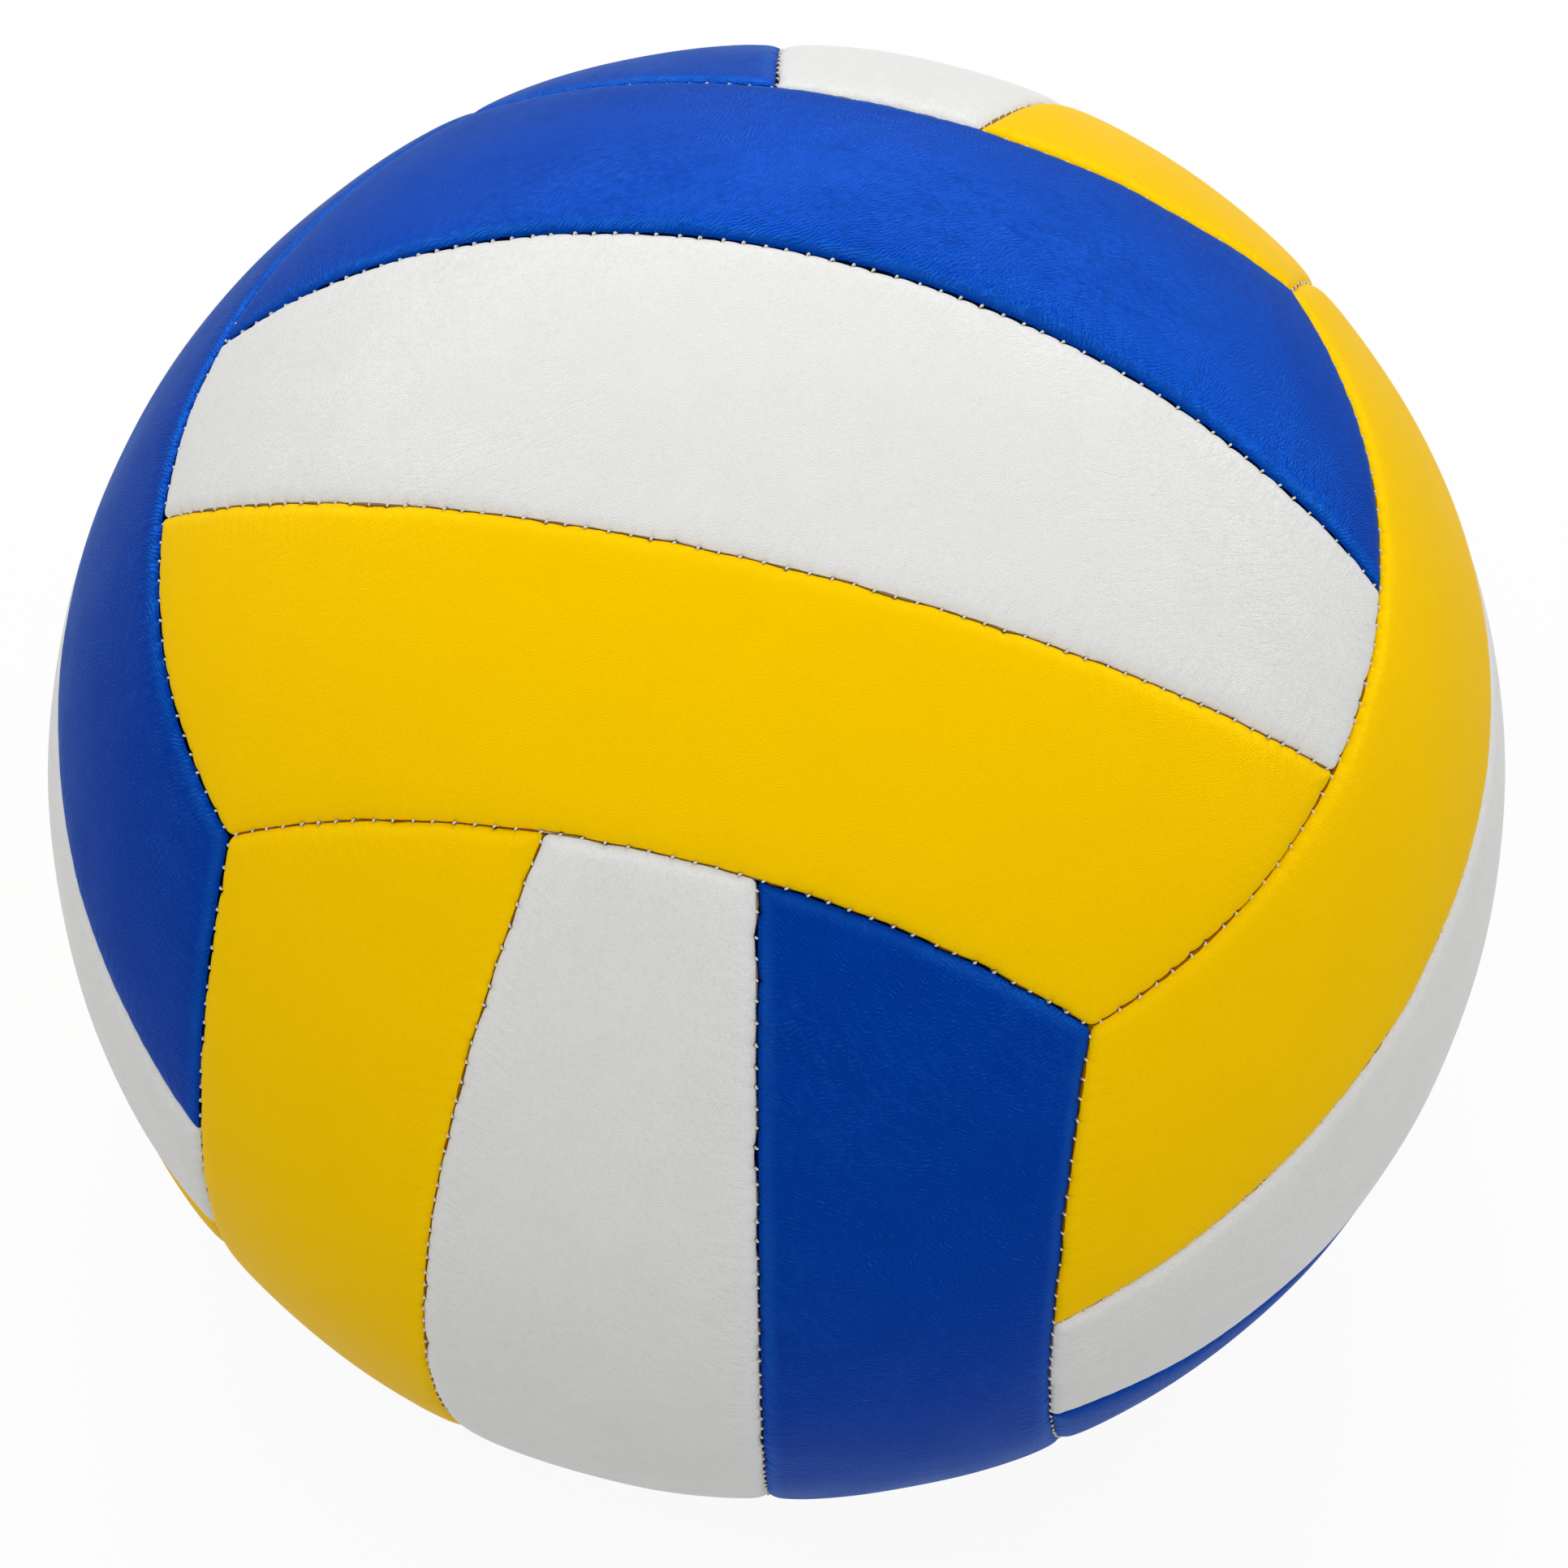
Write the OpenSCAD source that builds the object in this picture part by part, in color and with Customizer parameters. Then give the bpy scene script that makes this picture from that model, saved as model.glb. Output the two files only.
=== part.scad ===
// Volleyball of size 5: eighteen sewn strip panels over a rubber bladder with a needle valve.
// The origin is the middle of the ball. The face called top points along +Z and its strips run
// along X, the front face points along -Y, and the valve points along +Y in the back face.

/* [Ball] */
// Outer diameter of the inflated ball
ball_d = 210; // [190:1:230]

/* [Panels] */
// Thickness of the artificial leather skin
skin_t = 0.9; // [0.7:0.1:1.4]
// Thickness of the foam under the skin
foam_t = 2.6; // [1.6:0.1:3.6]
// Thickness of the cloth lining under the foam
lining_t = 0.4; // [0.2:0.1:0.8]
// Film of glue between two layers
glue_t = 0.1; // [0.05:0.05:0.3]
// Width of the sloping edge of a panel
edge_w = 3.2; // [2:0.1:5]
// Drop of the sloping edge at the seam
edge_h = 0.7; // [0.3:0.1:0.8]

/* [Seams] */
// Gap between two neighbouring panels
seam_gap = 0.6; // [0.5:0.1:1.2]
// Angle between the middle of a face and the seams on both sides of its middle strip
strip_angle = 13.4; // [12:0.1:15]
// Tilt of the seams between two faces, which bows the long sides of a face inwards
face_tilt = 2.5; // [0:0.1:4]
// Thickness of the sewing thread
thread_d = 0.4; // [0.2:0.05:0.45]
// Depth of the thread's middle below the outer surface
thread_depth = 1.3; // [1:0.1:2]

/* [Bladder] */
// Thickness of the rubber bladder
bladder_t = 0.7; // [0.5:0.1:1.2]

/* [Valve] */
// Diameter of the valve stem
stem_d = 7; // [6:0.1:9]
// Length of the valve stem
stem_l = 15; // [14:0.5:20]
// Diameter of the flange that holds the stem to the bladder
flange_d = 26; // [18:1:32]
// Thickness of the flange
flange_t = 1.2; // [0.8:0.1:2]
// Diameter of the valve core
core_d = 4.2; // [3.6:0.1:4.6]
// Length of the valve core with its head
core_l = 11; // [10:0.5:12]
// Diameter of the head that locks the core in the stem
head_d = 5.4; // [5:0.1:5.8]
// Length of that head
head_l = 2; // [1:0.1:2.4]
// Diameter of the bore for the inflating needle
needle_d = 2.1; // [1.8:0.1:2.4]
// Depth of the bore for the inflating needle
needle_l = 8; // [6:0.5:9]
// Diameter of the air way under the core
air_way_d = 2.4; // [1.5:0.1:3]
// Depth of the stem's outer end below the skin
valve_recess = 0.3; // [0:0.1:1]
// Clearance all round the core and the stem
fit_gap = 0.1; // [0.05:0.05:0.2]

/* [Hidden] */
FACES = ["top", "right", "back", "bottom", "left", "front"];
STRIPS = [-1, 0, 1];
LAYERS = ["skin", "foam", "lining"];

$fn = 96;
overrun = 1;
ball_r = ball_d / 2;
hollow_r = ball_r - skin_t;
foam_r = hollow_r - glue_t;
foam_in_r = foam_r - foam_t;
lining_r = foam_in_r - glue_t;
lining_in_r = lining_r - lining_t;
bladder_r = lining_in_r - glue_t;
bladder_in_r = bladder_r - bladder_t;
flange_r = bladder_in_r - glue_t;
panel_inset = seam_gap / 2;
hollow_inset = panel_inset + skin_t;
foam_inset = hollow_inset + glue_t;

// Three faces meet where the corners of a cube would be, which lie this share of the radius along each axis
corner_share = 1 / sqrt(3);
face_half = acos(corner_share * (cos(face_tilt) - sin(face_tilt)));
face_corner_turn = atan2(1, cos(face_tilt) + sin(face_tilt));
// Half of the angle that a seam beside a middle strip spans from end to end
strip_end_tilt = atan2(sin(face_tilt), cos(face_tilt) * cos(strip_angle));
strip_end_size = norm([cos(face_tilt) * cos(strip_angle), sin(face_tilt)]);
strip_half_turn = acos(cos(face_half) / strip_end_size) - strip_end_tilt;

// The ends of a strip drop a little less than its long sides, so that each edge meets the wall of
// the other at its own height
end_drop_share = 0.85;
end_h = edge_h * end_drop_share;

// Angle between the middle of a face and the middle of its long side
side_angle = 90 + face_tilt - face_half;
// Cuts and blocks reach this much further than the panels, as angles and shares
spare_angle = 3;
sector_turn = face_half - face_tilt + spare_angle;
cut_turn = 62;
cut_share = 0.85;
cut_w = (1 - corner_share) * ball_r;
low_r = bladder_in_r - overrun;
high_r = ball_r + overrun;

thread_r = ball_r - thread_depth;
thread_end = seam_gap + thread_d;
stem_top = ball_r - valve_recess;
pocket_l = core_l + fit_gap;

function strip_colour(face, strip) =
    strip == 0 ? "white" :
    (face == "top" || face == "bottom") == (strip > 0) ? "blue" : "yellow";
function node_name(face, strip, layer) = str(face, "_", strip_colour(face, strip), "_", layer);

// A point beside a seam, whose wall lies on a cone round the local Z axis. Aside grows into the
// panel, which is on the axis side of the cone where toward is 1 and outside it where it is -1.
function seam_point(half, toward, along, aside) = [
    along * sin(half) - toward * aside * cos(half),
    along * cos(half) + toward * aside * sin(half)
];

// Outline of what lies beyond one wall of a panel, whose edge slopes down by drop to the seam, or
// is sharp where drop is zero
function wall_outline(half, toward, inset, drop) = [
    seam_point(half, toward, low_r * cut_share, -cut_w),
    seam_point(half, toward, low_r, inset),
    if (drop > 0) seam_point(half, toward, ball_r - drop, inset),
    seam_point(half, toward, high_r, inset + (drop > 0 ? edge_w * (1 + overrun / drop) : 0)),
    seam_point(half, toward, high_r, -cut_w)
];

// Revolves an outline round the local Z axis, centred on the local X axis
module seam_ring(outline) {
    rotate([0, 0, -cut_turn]) rotate_extrude(angle = 2 * cut_turn) polygon(outline);
}

// The six faces are copies of the top face
module place_face(face) {
    if (face == "top") children();
    if (face == "right") rotate(a = 120, v = [1, 1, 1]) children();
    if (face == "back") rotate(a = 240, v = [1, 1, 1]) children();
    if (face == "bottom") rotate([180, 0, 0]) children();
    if (face == "left") rotate([0, 180, 0]) rotate(a = 120, v = [1, 1, 1]) children();
    if (face == "front") rotate([0, 0, 180]) rotate(a = 240, v = [1, 1, 1]) children();
}

// Turns Z into the axis of the seam at one end of the top face's strips, and X towards that end
module end_axis(side) {
    rotate([0, 0, side > 0 ? 0 : 180]) rotate([0, -face_tilt, 0]) children();
}

// Turns Z into the axis of a seam along the top face's strips, which leans by lean from Y, and X
// towards the middle of the face
module side_axis(side, lean) {
    rotate([-side * (90 + lean), 0, 0]) rotate([0, 0, -side * 90]) children();
}

// A piece of a hollow ball between two angles from the middle of the top face
module sector(low_angle, high_angle, outer_r, inner_r) {
    side_axis(1, 0)
        rotate([0, 0, -sector_turn])
            rotate_extrude(angle = 2 * sector_turn)
                intersection() {
                    difference() {
                        circle(r = outer_r);
                        circle(r = inner_r);
                    }
                    polygon([
                        [0, 0],
                        [ball_d * cos(low_angle), ball_d * sin(low_angle)],
                        [ball_d * cos(high_angle), ball_d * sin(high_angle)]
                    ]);
                }
}

// Cuts the two ends of a strip, one after the other
module cut_ends(inset, drop) {
    difference() {
        difference() {
            children();
            end_axis(1) seam_ring(wall_outline(face_half, 1, inset, drop));
        }
        end_axis(-1) seam_ring(wall_outline(face_half, 1, inset, drop));
    }
}

// Cuts the two long sides of the strip on one side of the face
module cut_outer_sides(side, inset, drop) {
    difference() {
        difference() {
            children();
            side_axis(side, face_tilt) seam_ring(wall_outline(face_half, -1, inset, drop));
        }
        side_axis(side, strip_angle) seam_ring(wall_outline(90, 1, inset, drop));
    }
}

// Cuts the two long sides of the middle strip
module cut_middle_sides(inset, drop) {
    difference() {
        difference() {
            children();
            side_axis(1, strip_angle) seam_ring(wall_outline(90, -1, inset, drop));
        }
        side_axis(-1, strip_angle) seam_ring(wall_outline(90, -1, inset, drop));
    }
}

// One strip of the top face between two radii, with sharp edges kept clear of the seams by inset
module strip_block(strip, outer_r, inner_r, inset) {
    middle_reach = strip_angle + spare_angle;
    outer_reach = strip * (side_angle + spare_angle);
    if (strip == 0)
        cut_middle_sides(inset, 0) cut_ends(inset, 0)
            sector(-middle_reach, middle_reach, outer_r, inner_r);
    if (strip != 0)
        cut_outer_sides(strip, inset, 0) cut_ends(inset, 0)
            sector(min(0, outer_reach), max(0, outer_reach), outer_r, inner_r);
}

// The whole panel without its hollow, with edges that slope down to the seams
module panel_body(strip) {
    if (strip == 0)
        cut_ends(panel_inset, end_h) cut_middle_sides(panel_inset, edge_h)
            strip_block(strip, ball_r, foam_in_r, panel_inset);
    if (strip != 0)
        cut_ends(panel_inset, end_h) cut_outer_sides(strip, panel_inset, edge_h)
            strip_block(strip, ball_r, foam_in_r, panel_inset);
}

// Hole for the valve stem in the middle strip of the back face
module valve_hole(face, strip) {
    if (face == "back" && strip == 0) {
        cylinder(d = stem_d + 2 * fit_gap, h = ball_r + overrun);
    }
}

// Skin whose edges are turned in at the seams, so that it holds the foam like a tray
module skin(face, strip) {
    place_face(face) difference() {
        panel_body(strip);
        strip_block(strip, hollow_r, foam_in_r - overrun, hollow_inset);
        valve_hole(face, strip);
    }
}

module foam(face, strip) {
    place_face(face) difference() {
        strip_block(strip, foam_r, foam_in_r, foam_inset);
        valve_hole(face, strip);
    }
}

module lining(face, strip) {
    place_face(face) difference() {
        strip_block(strip, lining_r, lining_in_r, panel_inset);
        valve_hole(face, strip);
    }
}

module panel_layer(face, strip, layer) {
    if (layer == "skin" && strip_colour(face, strip) == "blue") color("royalblue") skin(face, strip);
    if (layer == "skin" && strip_colour(face, strip) == "white") color("whitesmoke") skin(face, strip);
    if (layer == "skin" && strip_colour(face, strip) == "yellow") color("gold") skin(face, strip);
    if (layer == "foam") color("ivory") foam(face, strip);
    if (layer == "lining") color("beige") lining(face, strip);
}

// A length of thread along a seam, centred on the local X axis
module thread_arc(half, half_turn) {
    end_turn = half_turn - asin(thread_end / (thread_r * sin(half)));
    rotate([0, 0, -end_turn])
        rotate_extrude(angle = 2 * end_turn)
            translate([thread_r * sin(half), thread_r * cos(half)])
                circle(d = thread_d, $fn = 24);
}

// Thread in the twelve seams between the faces
module face_seam_thread() {
    color("lightgray")
        for (face = FACES) place_face(face) {
            end_axis(1) thread_arc(face_half, face_corner_turn);
            end_axis(-1) thread_arc(face_half, face_corner_turn);
        }
}

// Thread in the twelve seams between the strips of a face
module strip_seam_thread() {
    color("lightgray")
        for (face = FACES, side = [-1, 1])
            place_face(face) side_axis(side, strip_angle) thread_arc(90, strip_half_turn);
}

// Turns Z into the valve's axis
module valve_axis() {
    rotate([-90, 0, 0]) children();
}

module shell(outer_r, inner_r) {
    difference() {
        sphere(r = outer_r);
        sphere(r = inner_r);
    }
}

module bladder() {
    color("dimgray") difference() {
        shell(bladder_r, bladder_in_r);
        valve_axis() cylinder(d = stem_d + 2 * fit_gap, h = ball_r);
    }
}

// Rubber stem with the pocket for the core, on a flange inside the bladder
module valve_stem() {
    color("black") valve_axis() difference() {
        union() {
            translate([0, 0, stem_top - stem_l]) cylinder(d = stem_d, h = stem_l);
            intersection() {
                shell(flange_r, flange_r - flange_t);
                cylinder(d = flange_d, h = ball_r);
            }
        }
        translate([0, 0, stem_top - core_l])
            cylinder(d = core_d + 2 * fit_gap, h = core_l + overrun);
        translate([0, 0, stem_top - pocket_l])
            cylinder(d = head_d + 2 * fit_gap, h = head_l + 2 * fit_gap);
        translate([0, 0, stem_top - stem_l - overrun]) cylinder(d = air_way_d, h = stem_l);
    }
}

// Soft plug that the needle goes through
module valve_core() {
    color("darkslategray") valve_axis() difference() {
        union() {
            translate([0, 0, stem_top - pocket_l]) cylinder(d = core_d, h = core_l);
            translate([0, 0, stem_top - pocket_l]) cylinder(d = head_d, h = head_l);
        }
        translate([0, 0, stem_top - pocket_l + core_l - needle_l])
            cylinder(d = needle_d, h = needle_l + overrun);
    }
}

for (face = FACES, strip = STRIPS, layer = LAYERS)
    panel_layer(face, strip, layer);
face_seam_thread();
strip_seam_thread();
bladder();
valve_stem();
valve_core();
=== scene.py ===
"""Looks of a sewn, air-filled volleyball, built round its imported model.

Lengths are in millimetres and become metres where a mesh is made. The origin is the middle of
the ball, +Z the middle of the top face and +Y the valve's side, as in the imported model. Every
seam is a circle on the ball, and a panel is worked out from the four seams round it.
"""

import logging
import math
from dataclasses import dataclass, field
from enum import Enum, IntEnum
from typing import Sequence

import bpy
import numpy as np
from mathutils import Matrix, Vector


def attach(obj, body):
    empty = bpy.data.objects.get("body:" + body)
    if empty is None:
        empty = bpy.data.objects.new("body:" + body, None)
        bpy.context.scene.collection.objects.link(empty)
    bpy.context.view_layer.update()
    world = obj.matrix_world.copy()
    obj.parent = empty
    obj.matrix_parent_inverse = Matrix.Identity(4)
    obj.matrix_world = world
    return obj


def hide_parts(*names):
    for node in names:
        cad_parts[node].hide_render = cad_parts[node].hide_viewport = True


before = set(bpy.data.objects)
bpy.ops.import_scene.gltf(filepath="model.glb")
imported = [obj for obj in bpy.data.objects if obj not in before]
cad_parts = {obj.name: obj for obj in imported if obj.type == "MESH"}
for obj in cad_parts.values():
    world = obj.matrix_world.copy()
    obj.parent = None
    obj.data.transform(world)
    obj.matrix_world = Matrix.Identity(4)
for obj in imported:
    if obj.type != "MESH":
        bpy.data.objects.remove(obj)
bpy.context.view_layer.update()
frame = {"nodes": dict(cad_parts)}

Array = np.ndarray
MM = 0.001
# How many of a wave's lengths lie in the pitch that is asked for, from the fewest to the most
WAVES_IN_PITCH = (0.7, 1.4)
# The sockets of a Mix node that belong to colours: the share, both colours and the result
MIX_SHARE, MIX_ONE, MIX_OTHER, MIX_RESULT = 0, 6, 7, 2
log = logging.getLogger("volleyball")


class Seed(IntEnum):
    """Seeds that keep each kind of unevenness the same in every run."""

    SLIP = 11
    HOLE = 23
    WANDER = 31
    RIPPLE = 37
    SWELL = 41
    LEAN = 53
    SINK = 59


class Face(Enum):
    """The six faces of the ball, each with where the top face's X, Y and Z axes go."""

    TOP = ("top", (1, 0, 0), (0, 1, 0), (0, 0, 1))
    RIGHT = ("right", (0, 1, 0), (0, 0, 1), (1, 0, 0))
    BACK = ("back", (0, 0, 1), (1, 0, 0), (0, 1, 0))
    BOTTOM = ("bottom", (1, 0, 0), (0, -1, 0), (0, 0, -1))
    LEFT = ("left", (0, 1, 0), (0, 0, -1), (-1, 0, 0))
    FRONT = ("front", (0, 0, 1), (-1, 0, 0), (0, -1, 0))

    @property
    def label(self) -> str:
        """The face's name."""
        return self.value[0]

    @property
    def axes(self) -> Array:
        """Rows that turn a point of the top face into the same point of this face."""
        return np.array(self.value[1:], float)


class Colour(Enum):
    """The three colours of the panels."""

    BLUE = "blue"
    WHITE = "white"
    YELLOW = "yellow"


def strip_colour(face: Face, strip: int) -> Colour:
    """Tells a panel's colour.

    Args:
        face: The face that the panel is in.
        strip: -1, 0 or 1 for the strip's place across the face.

    Returns:
        White for the middle strip, and blue or yellow for the two beside it.
    """
    if strip == 0:
        return Colour.WHITE
    blue_first = face in (Face.TOP, Face.BOTTOM)
    return Colour.BLUE if blue_first == (strip > 0) else Colour.YELLOW


def smooth(low: float, high: float, value: Array) -> Array:
    """Rises from 0 at low to 1 at high with level ends, as 3t squared less 2t cubed."""
    t = np.clip((value - low) / (high - low), 0.0, 1.0)
    return t * t * (3.0 - 2.0 * t)


def bell(distance: Array) -> Array:
    """A bell curve, e to the power of minus the distance squared."""
    return np.exp(-(np.asarray(distance, float) ** 2))


def wobble(points: Array, pitch: float, seed: Seed, waves: int = 7) -> Array:
    """Gives an even, repeatable unevenness from a place on the ball.

    It is the sum of plane sine waves in random directions, with lengths near the pitch, scaled
    to a spread of about 1.

    Args:
        points: Places in millimetres, shape (..., 3).
        pitch: Usual length of a wave in millimetres.
        seed: Picks the set of waves.
        waves: How many waves are summed.

    Returns:
        One value for each place.
    """
    draw = np.random.default_rng(seed)
    lines = draw.normal(size=(waves, 3))
    size = 2.0 * math.pi / pitch / np.linalg.norm(lines, axis=1) * draw.uniform(*WAVES_IN_PITCH, waves)
    lines *= size[:, None]
    starts = draw.uniform(0.0, 2.0 * math.pi, waves)
    return np.sin(points @ lines.T + starts).sum(-1) * math.sqrt(2.0 / waves)


@dataclass(frozen=True)
class BallSizes:
    """Sizes of the ball and of its panel pattern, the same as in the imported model."""

    ball_r: float = 105.0
    skin_t: float = 0.9
    tray_low_r: float = 101.4
    face_tilt: float = math.radians(2.5)
    strip_angle: float = math.radians(13.4)
    thread_r: float = 103.7
    run_drop: float = 0.42
    thread_d: float = 0.4
    valve_hole_r: float = 3.6

    @property
    def run_r(self) -> float:
        """Radius of the thread that runs below the stitches."""
        return self.thread_r - self.run_drop

    @property
    def face_half(self) -> float:
        """Angle between a face seam and its axis, so that three faces meet at each cube corner."""
        return math.acos((math.cos(self.face_tilt) - math.sin(self.face_tilt)) / math.sqrt(3.0))


@dataclass(frozen=True)
class Seam:
    """A circle on the ball that two panels share.

    pole is the circle's axis and middle points from there to the middle of the seam. half is
    the angle between the axis and the circle. side is 1 for the panel that lies round the axis
    and -1 for the one outside the circle.
    """

    pole: Array
    middle: Array
    half: float
    side: int
    ball_r: float

    @property
    def run(self) -> Array:
        """The direction in which places along the seam grow."""
        return np.cross(self.pole, self.middle)

    def point(self, along: Array, aside: Array) -> Array:
        """Gives directions from the ball's middle to points beside the seam.

        A point is the axis tilted towards the seam's plane by the half angle less the distance
        aside, and turned round the axis by the distance along.

        Args:
            along: Millimetres along the seam from its middle.
            aside: Millimetres from the seam into the panel.

        Returns:
            Unit vectors, shape (n, 3).
        """
        turn = np.asarray(along, float) / (self.ball_r * math.sin(self.half))
        tilt = self.half - self.side * np.asarray(aside, float) / self.ball_r
        turn, tilt = np.broadcast_arrays(turn, tilt)
        flat = np.cos(turn)[..., None] * self.middle + np.sin(turn)[..., None] * self.run
        return np.cos(tilt)[..., None] * self.pole + np.sin(tilt)[..., None] * flat

    def along(self, spots: Array) -> Array:
        """Millimetres along the seam of each direction."""
        turn = np.arctan2(spots @ self.run, spots @ self.middle)
        return self.ball_r * math.sin(self.half) * turn

    def aside(self, spots: Array) -> Array:
        """Millimetres from the seam into the panel of each direction."""
        return self.side * self.ball_r * (self.half - np.arccos(np.clip(spots @ self.pole, -1.0, 1.0)))


def meet(one: Seam, one_aside: Array, other: Seam, other_aside: Array, near: Array) -> Array:
    """Finds the points at given distances from two seams, where two circles on the ball cross.

    Args:
        one: The first seam.
        one_aside: Millimetres from it.
        other: The second seam.
        other_aside: Millimetres from that.
        near: A direction that picks one of the two crossings.

    Returns:
        Unit vectors, shape (n, 3).
    """
    cos_one = np.cos(one.half - one.side * np.asarray(one_aside, float) / one.ball_r)
    cos_other = np.cos(other.half - other.side * np.asarray(other_aside, float) / other.ball_r)
    dot = float(one.pole @ other.pole)
    share_one = (cos_one - dot * cos_other) / (1.0 - dot * dot)
    share_other = (cos_other - dot * cos_one) / (1.0 - dot * dot)
    base = share_one[..., None] * one.pole + share_other[..., None] * other.pole
    across = np.cross(one.pole, other.pole)
    across *= math.copysign(1.0, float(across @ near)) / np.linalg.norm(across)
    rest = np.sqrt(np.maximum(1.0 - (base**2).sum(-1), 0.0))
    return base + rest[..., None] * across


def end_seam(face: Face, end: int, sizes: BallSizes) -> Seam:
    """Works out the face seam at one end of a face's strips, round whose axis the face lies.

    Args:
        face: The face.
        end: 1 for the end that its strips run towards, -1 for the other.
        sizes: The ball's sizes.

    Returns:
        The seam.
    """
    tilt = sizes.face_tilt
    pole = np.array((-end * math.sin(tilt), 0.0, math.cos(tilt))) @ face.axes
    middle = np.array((end * math.cos(tilt), 0.0, math.sin(tilt))) @ face.axes
    return Seam(pole, middle, sizes.face_half, 1, sizes.ball_r)


def long_seam(face: Face, hand: int, lean: float, half: float, side: int, sizes: BallSizes) -> Seam:
    """Works out a seam along a face's strips, whose axis leans from the face's Y axis.

    Args:
        face: The face.
        hand: 1 or -1 for the seam's side of the face.
        lean: How far the axis leans, in radians.
        half: Angle between the axis and the seam.
        side: 1 for the panel that lies round the axis, -1 for the one outside.
        sizes: The ball's sizes.

    Returns:
        The seam.
    """
    pole = np.array((0.0, hand * math.cos(lean), -math.sin(lean))) @ face.axes
    middle = np.array((0.0, hand * math.sin(lean), math.cos(lean))) @ face.axes
    return Seam(pole, middle, half, side, sizes.ball_r)


def strip_seam(face: Face, hand: int, side: int, sizes: BallSizes) -> Seam:
    """The seam between the middle strip and the one beside it."""
    return long_seam(face, hand, sizes.strip_angle, math.pi / 2.0, side, sizes)


def side_seam(face: Face, hand: int, sizes: BallSizes) -> Seam:
    """The face seam along the outer side of an outer strip."""
    return long_seam(face, hand, sizes.face_tilt, sizes.face_half, -1, sizes)


def seam_half_length(seam: Seam, sizes: BallSizes) -> float:
    """Works out half the length of a seam.

    A face seam, whose circle is smaller than the ball's own, ends at two corners of a cube. A
    strip seam ends where it meets the face seams at the ends of the strips.

    Args:
        seam: The seam.
        sizes: The ball's sizes.

    Returns:
        Millimetres.
    """
    if not math.isclose(seam.half, math.pi / 2.0):
        step = math.cos(sizes.face_tilt) + math.sin(sizes.face_tilt)
        return sizes.ball_r * math.sin(seam.half) * math.atan2(1.0, step)
    top_end, top_strip = end_seam(Face.TOP, 1, sizes), strip_seam(Face.TOP, 1, 1, sizes)
    crossing = meet(top_end, np.zeros(1), top_strip, np.zeros(1), top_end.middle + top_strip.middle)
    return abs(float(top_strip.along(crossing)[0]))


@dataclass
class Mesh:
    """Points and faces that are gathered before they become one Blender mesh."""

    points: list[Array] = field(default_factory=list)
    quads: list[Array] = field(default_factory=list)
    tris: list[Array] = field(default_factory=list)
    count: int = 0

    def add(self, points: Array) -> Array:
        """Adds points to the mesh.

        Args:
            points: Places in millimetres, shape (..., 3).

        Returns:
            The points' numbers, in the same shape without its last part.
        """
        flat = points.reshape(-1, 3)
        numbers = np.arange(self.count, self.count + len(flat)).reshape(points.shape[:-1])
        self.points.append(flat)
        self.count += len(flat)
        return numbers

    def lay(self, rows: Array, closed: bool = True, flip: bool = False) -> None:
        """Lays quads between neighbouring rows of point numbers.

        Args:
            rows: Point numbers, shape (rows, points in a row).
            closed: Whether each row is a loop.
            flip: Whether the faces look the other way.
        """
        here = rows if closed else rows[:, :-1]
        onward = np.roll(rows, -1, axis=1) if closed else rows[:, 1:]
        quads = np.stack([here[:-1], onward[:-1], onward[1:], here[1:]], -1).reshape(-1, 4)
        self.quads.append(quads[:, ::-1] if flip else quads)

    def zip_loops(
        self, outer: Array, outer_at: Array, inner: Array, inner_at: Array, flip: bool = False
    ) -> None:
        """Joins two closed loops of unlike point counts with a strip of triangles.

        Each edge of a loop takes the point of the other loop that is reached when both are
        walked round together, in the order of the edges' middles.

        Args:
            outer: Point numbers of the loop on the right of the way round.
            outer_at: How far round each of its points is, rising from 0 and below 1.
            inner: Point numbers of the loop on the left.
            inner_at: How far round each of those is.
            flip: Whether the faces look the other way.
        """
        outer_mid = (outer_at + np.append(outer_at[1:], 1.0)) / 2.0
        inner_mid = (inner_at + np.append(inner_at[1:], 1.0)) / 2.0
        reached = np.searchsorted(inner_mid, outer_mid, side="left") % len(inner)
        first = np.stack([outer, np.roll(outer, -1), inner[reached]], -1)
        reached = np.searchsorted(outer_mid, inner_mid, side="right") % len(outer)
        second = np.stack([outer[reached], np.roll(inner, -1), inner], -1)
        tris = np.concatenate([first, second])
        self.tris.append(tris[:, ::-1] if flip else tris)

    def build(self, name: str) -> bpy.types.Object:
        """Makes the Blender object, in metres and with smooth faces.

        Args:
            name: The piece's name.

        Returns:
            The new object, linked to the scene.
        """
        points = np.concatenate(self.points) * MM
        quads = np.concatenate(self.quads) if self.quads else np.zeros((0, 4), int)
        tris = np.concatenate(self.tris) if self.tris else np.zeros((0, 3), int)
        used, corners = np.unique(np.concatenate([quads.ravel(), tris.ravel()]), return_inverse=True)
        starts = np.concatenate([np.arange(len(quads)) * 4, quads.size + np.arange(len(tris)) * 3])
        data = bpy.data.meshes.new(name)
        data.vertices.add(len(used))
        data.vertices.foreach_set("co", points[used].astype(np.float32).ravel())
        data.loops.add(len(corners))
        data.loops.foreach_set("vertex_index", corners.ravel().astype(np.int32))
        data.polygons.add(len(starts))
        data.polygons.foreach_set("loop_start", starts.astype(np.int32))
        data.polygons.foreach_set("use_smooth", np.ones(len(starts), bool))
        data.update(calc_edges=True)
        piece = bpy.data.objects.new(name, data)
        bpy.context.scene.collection.objects.link(piece)
        return piece


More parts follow.
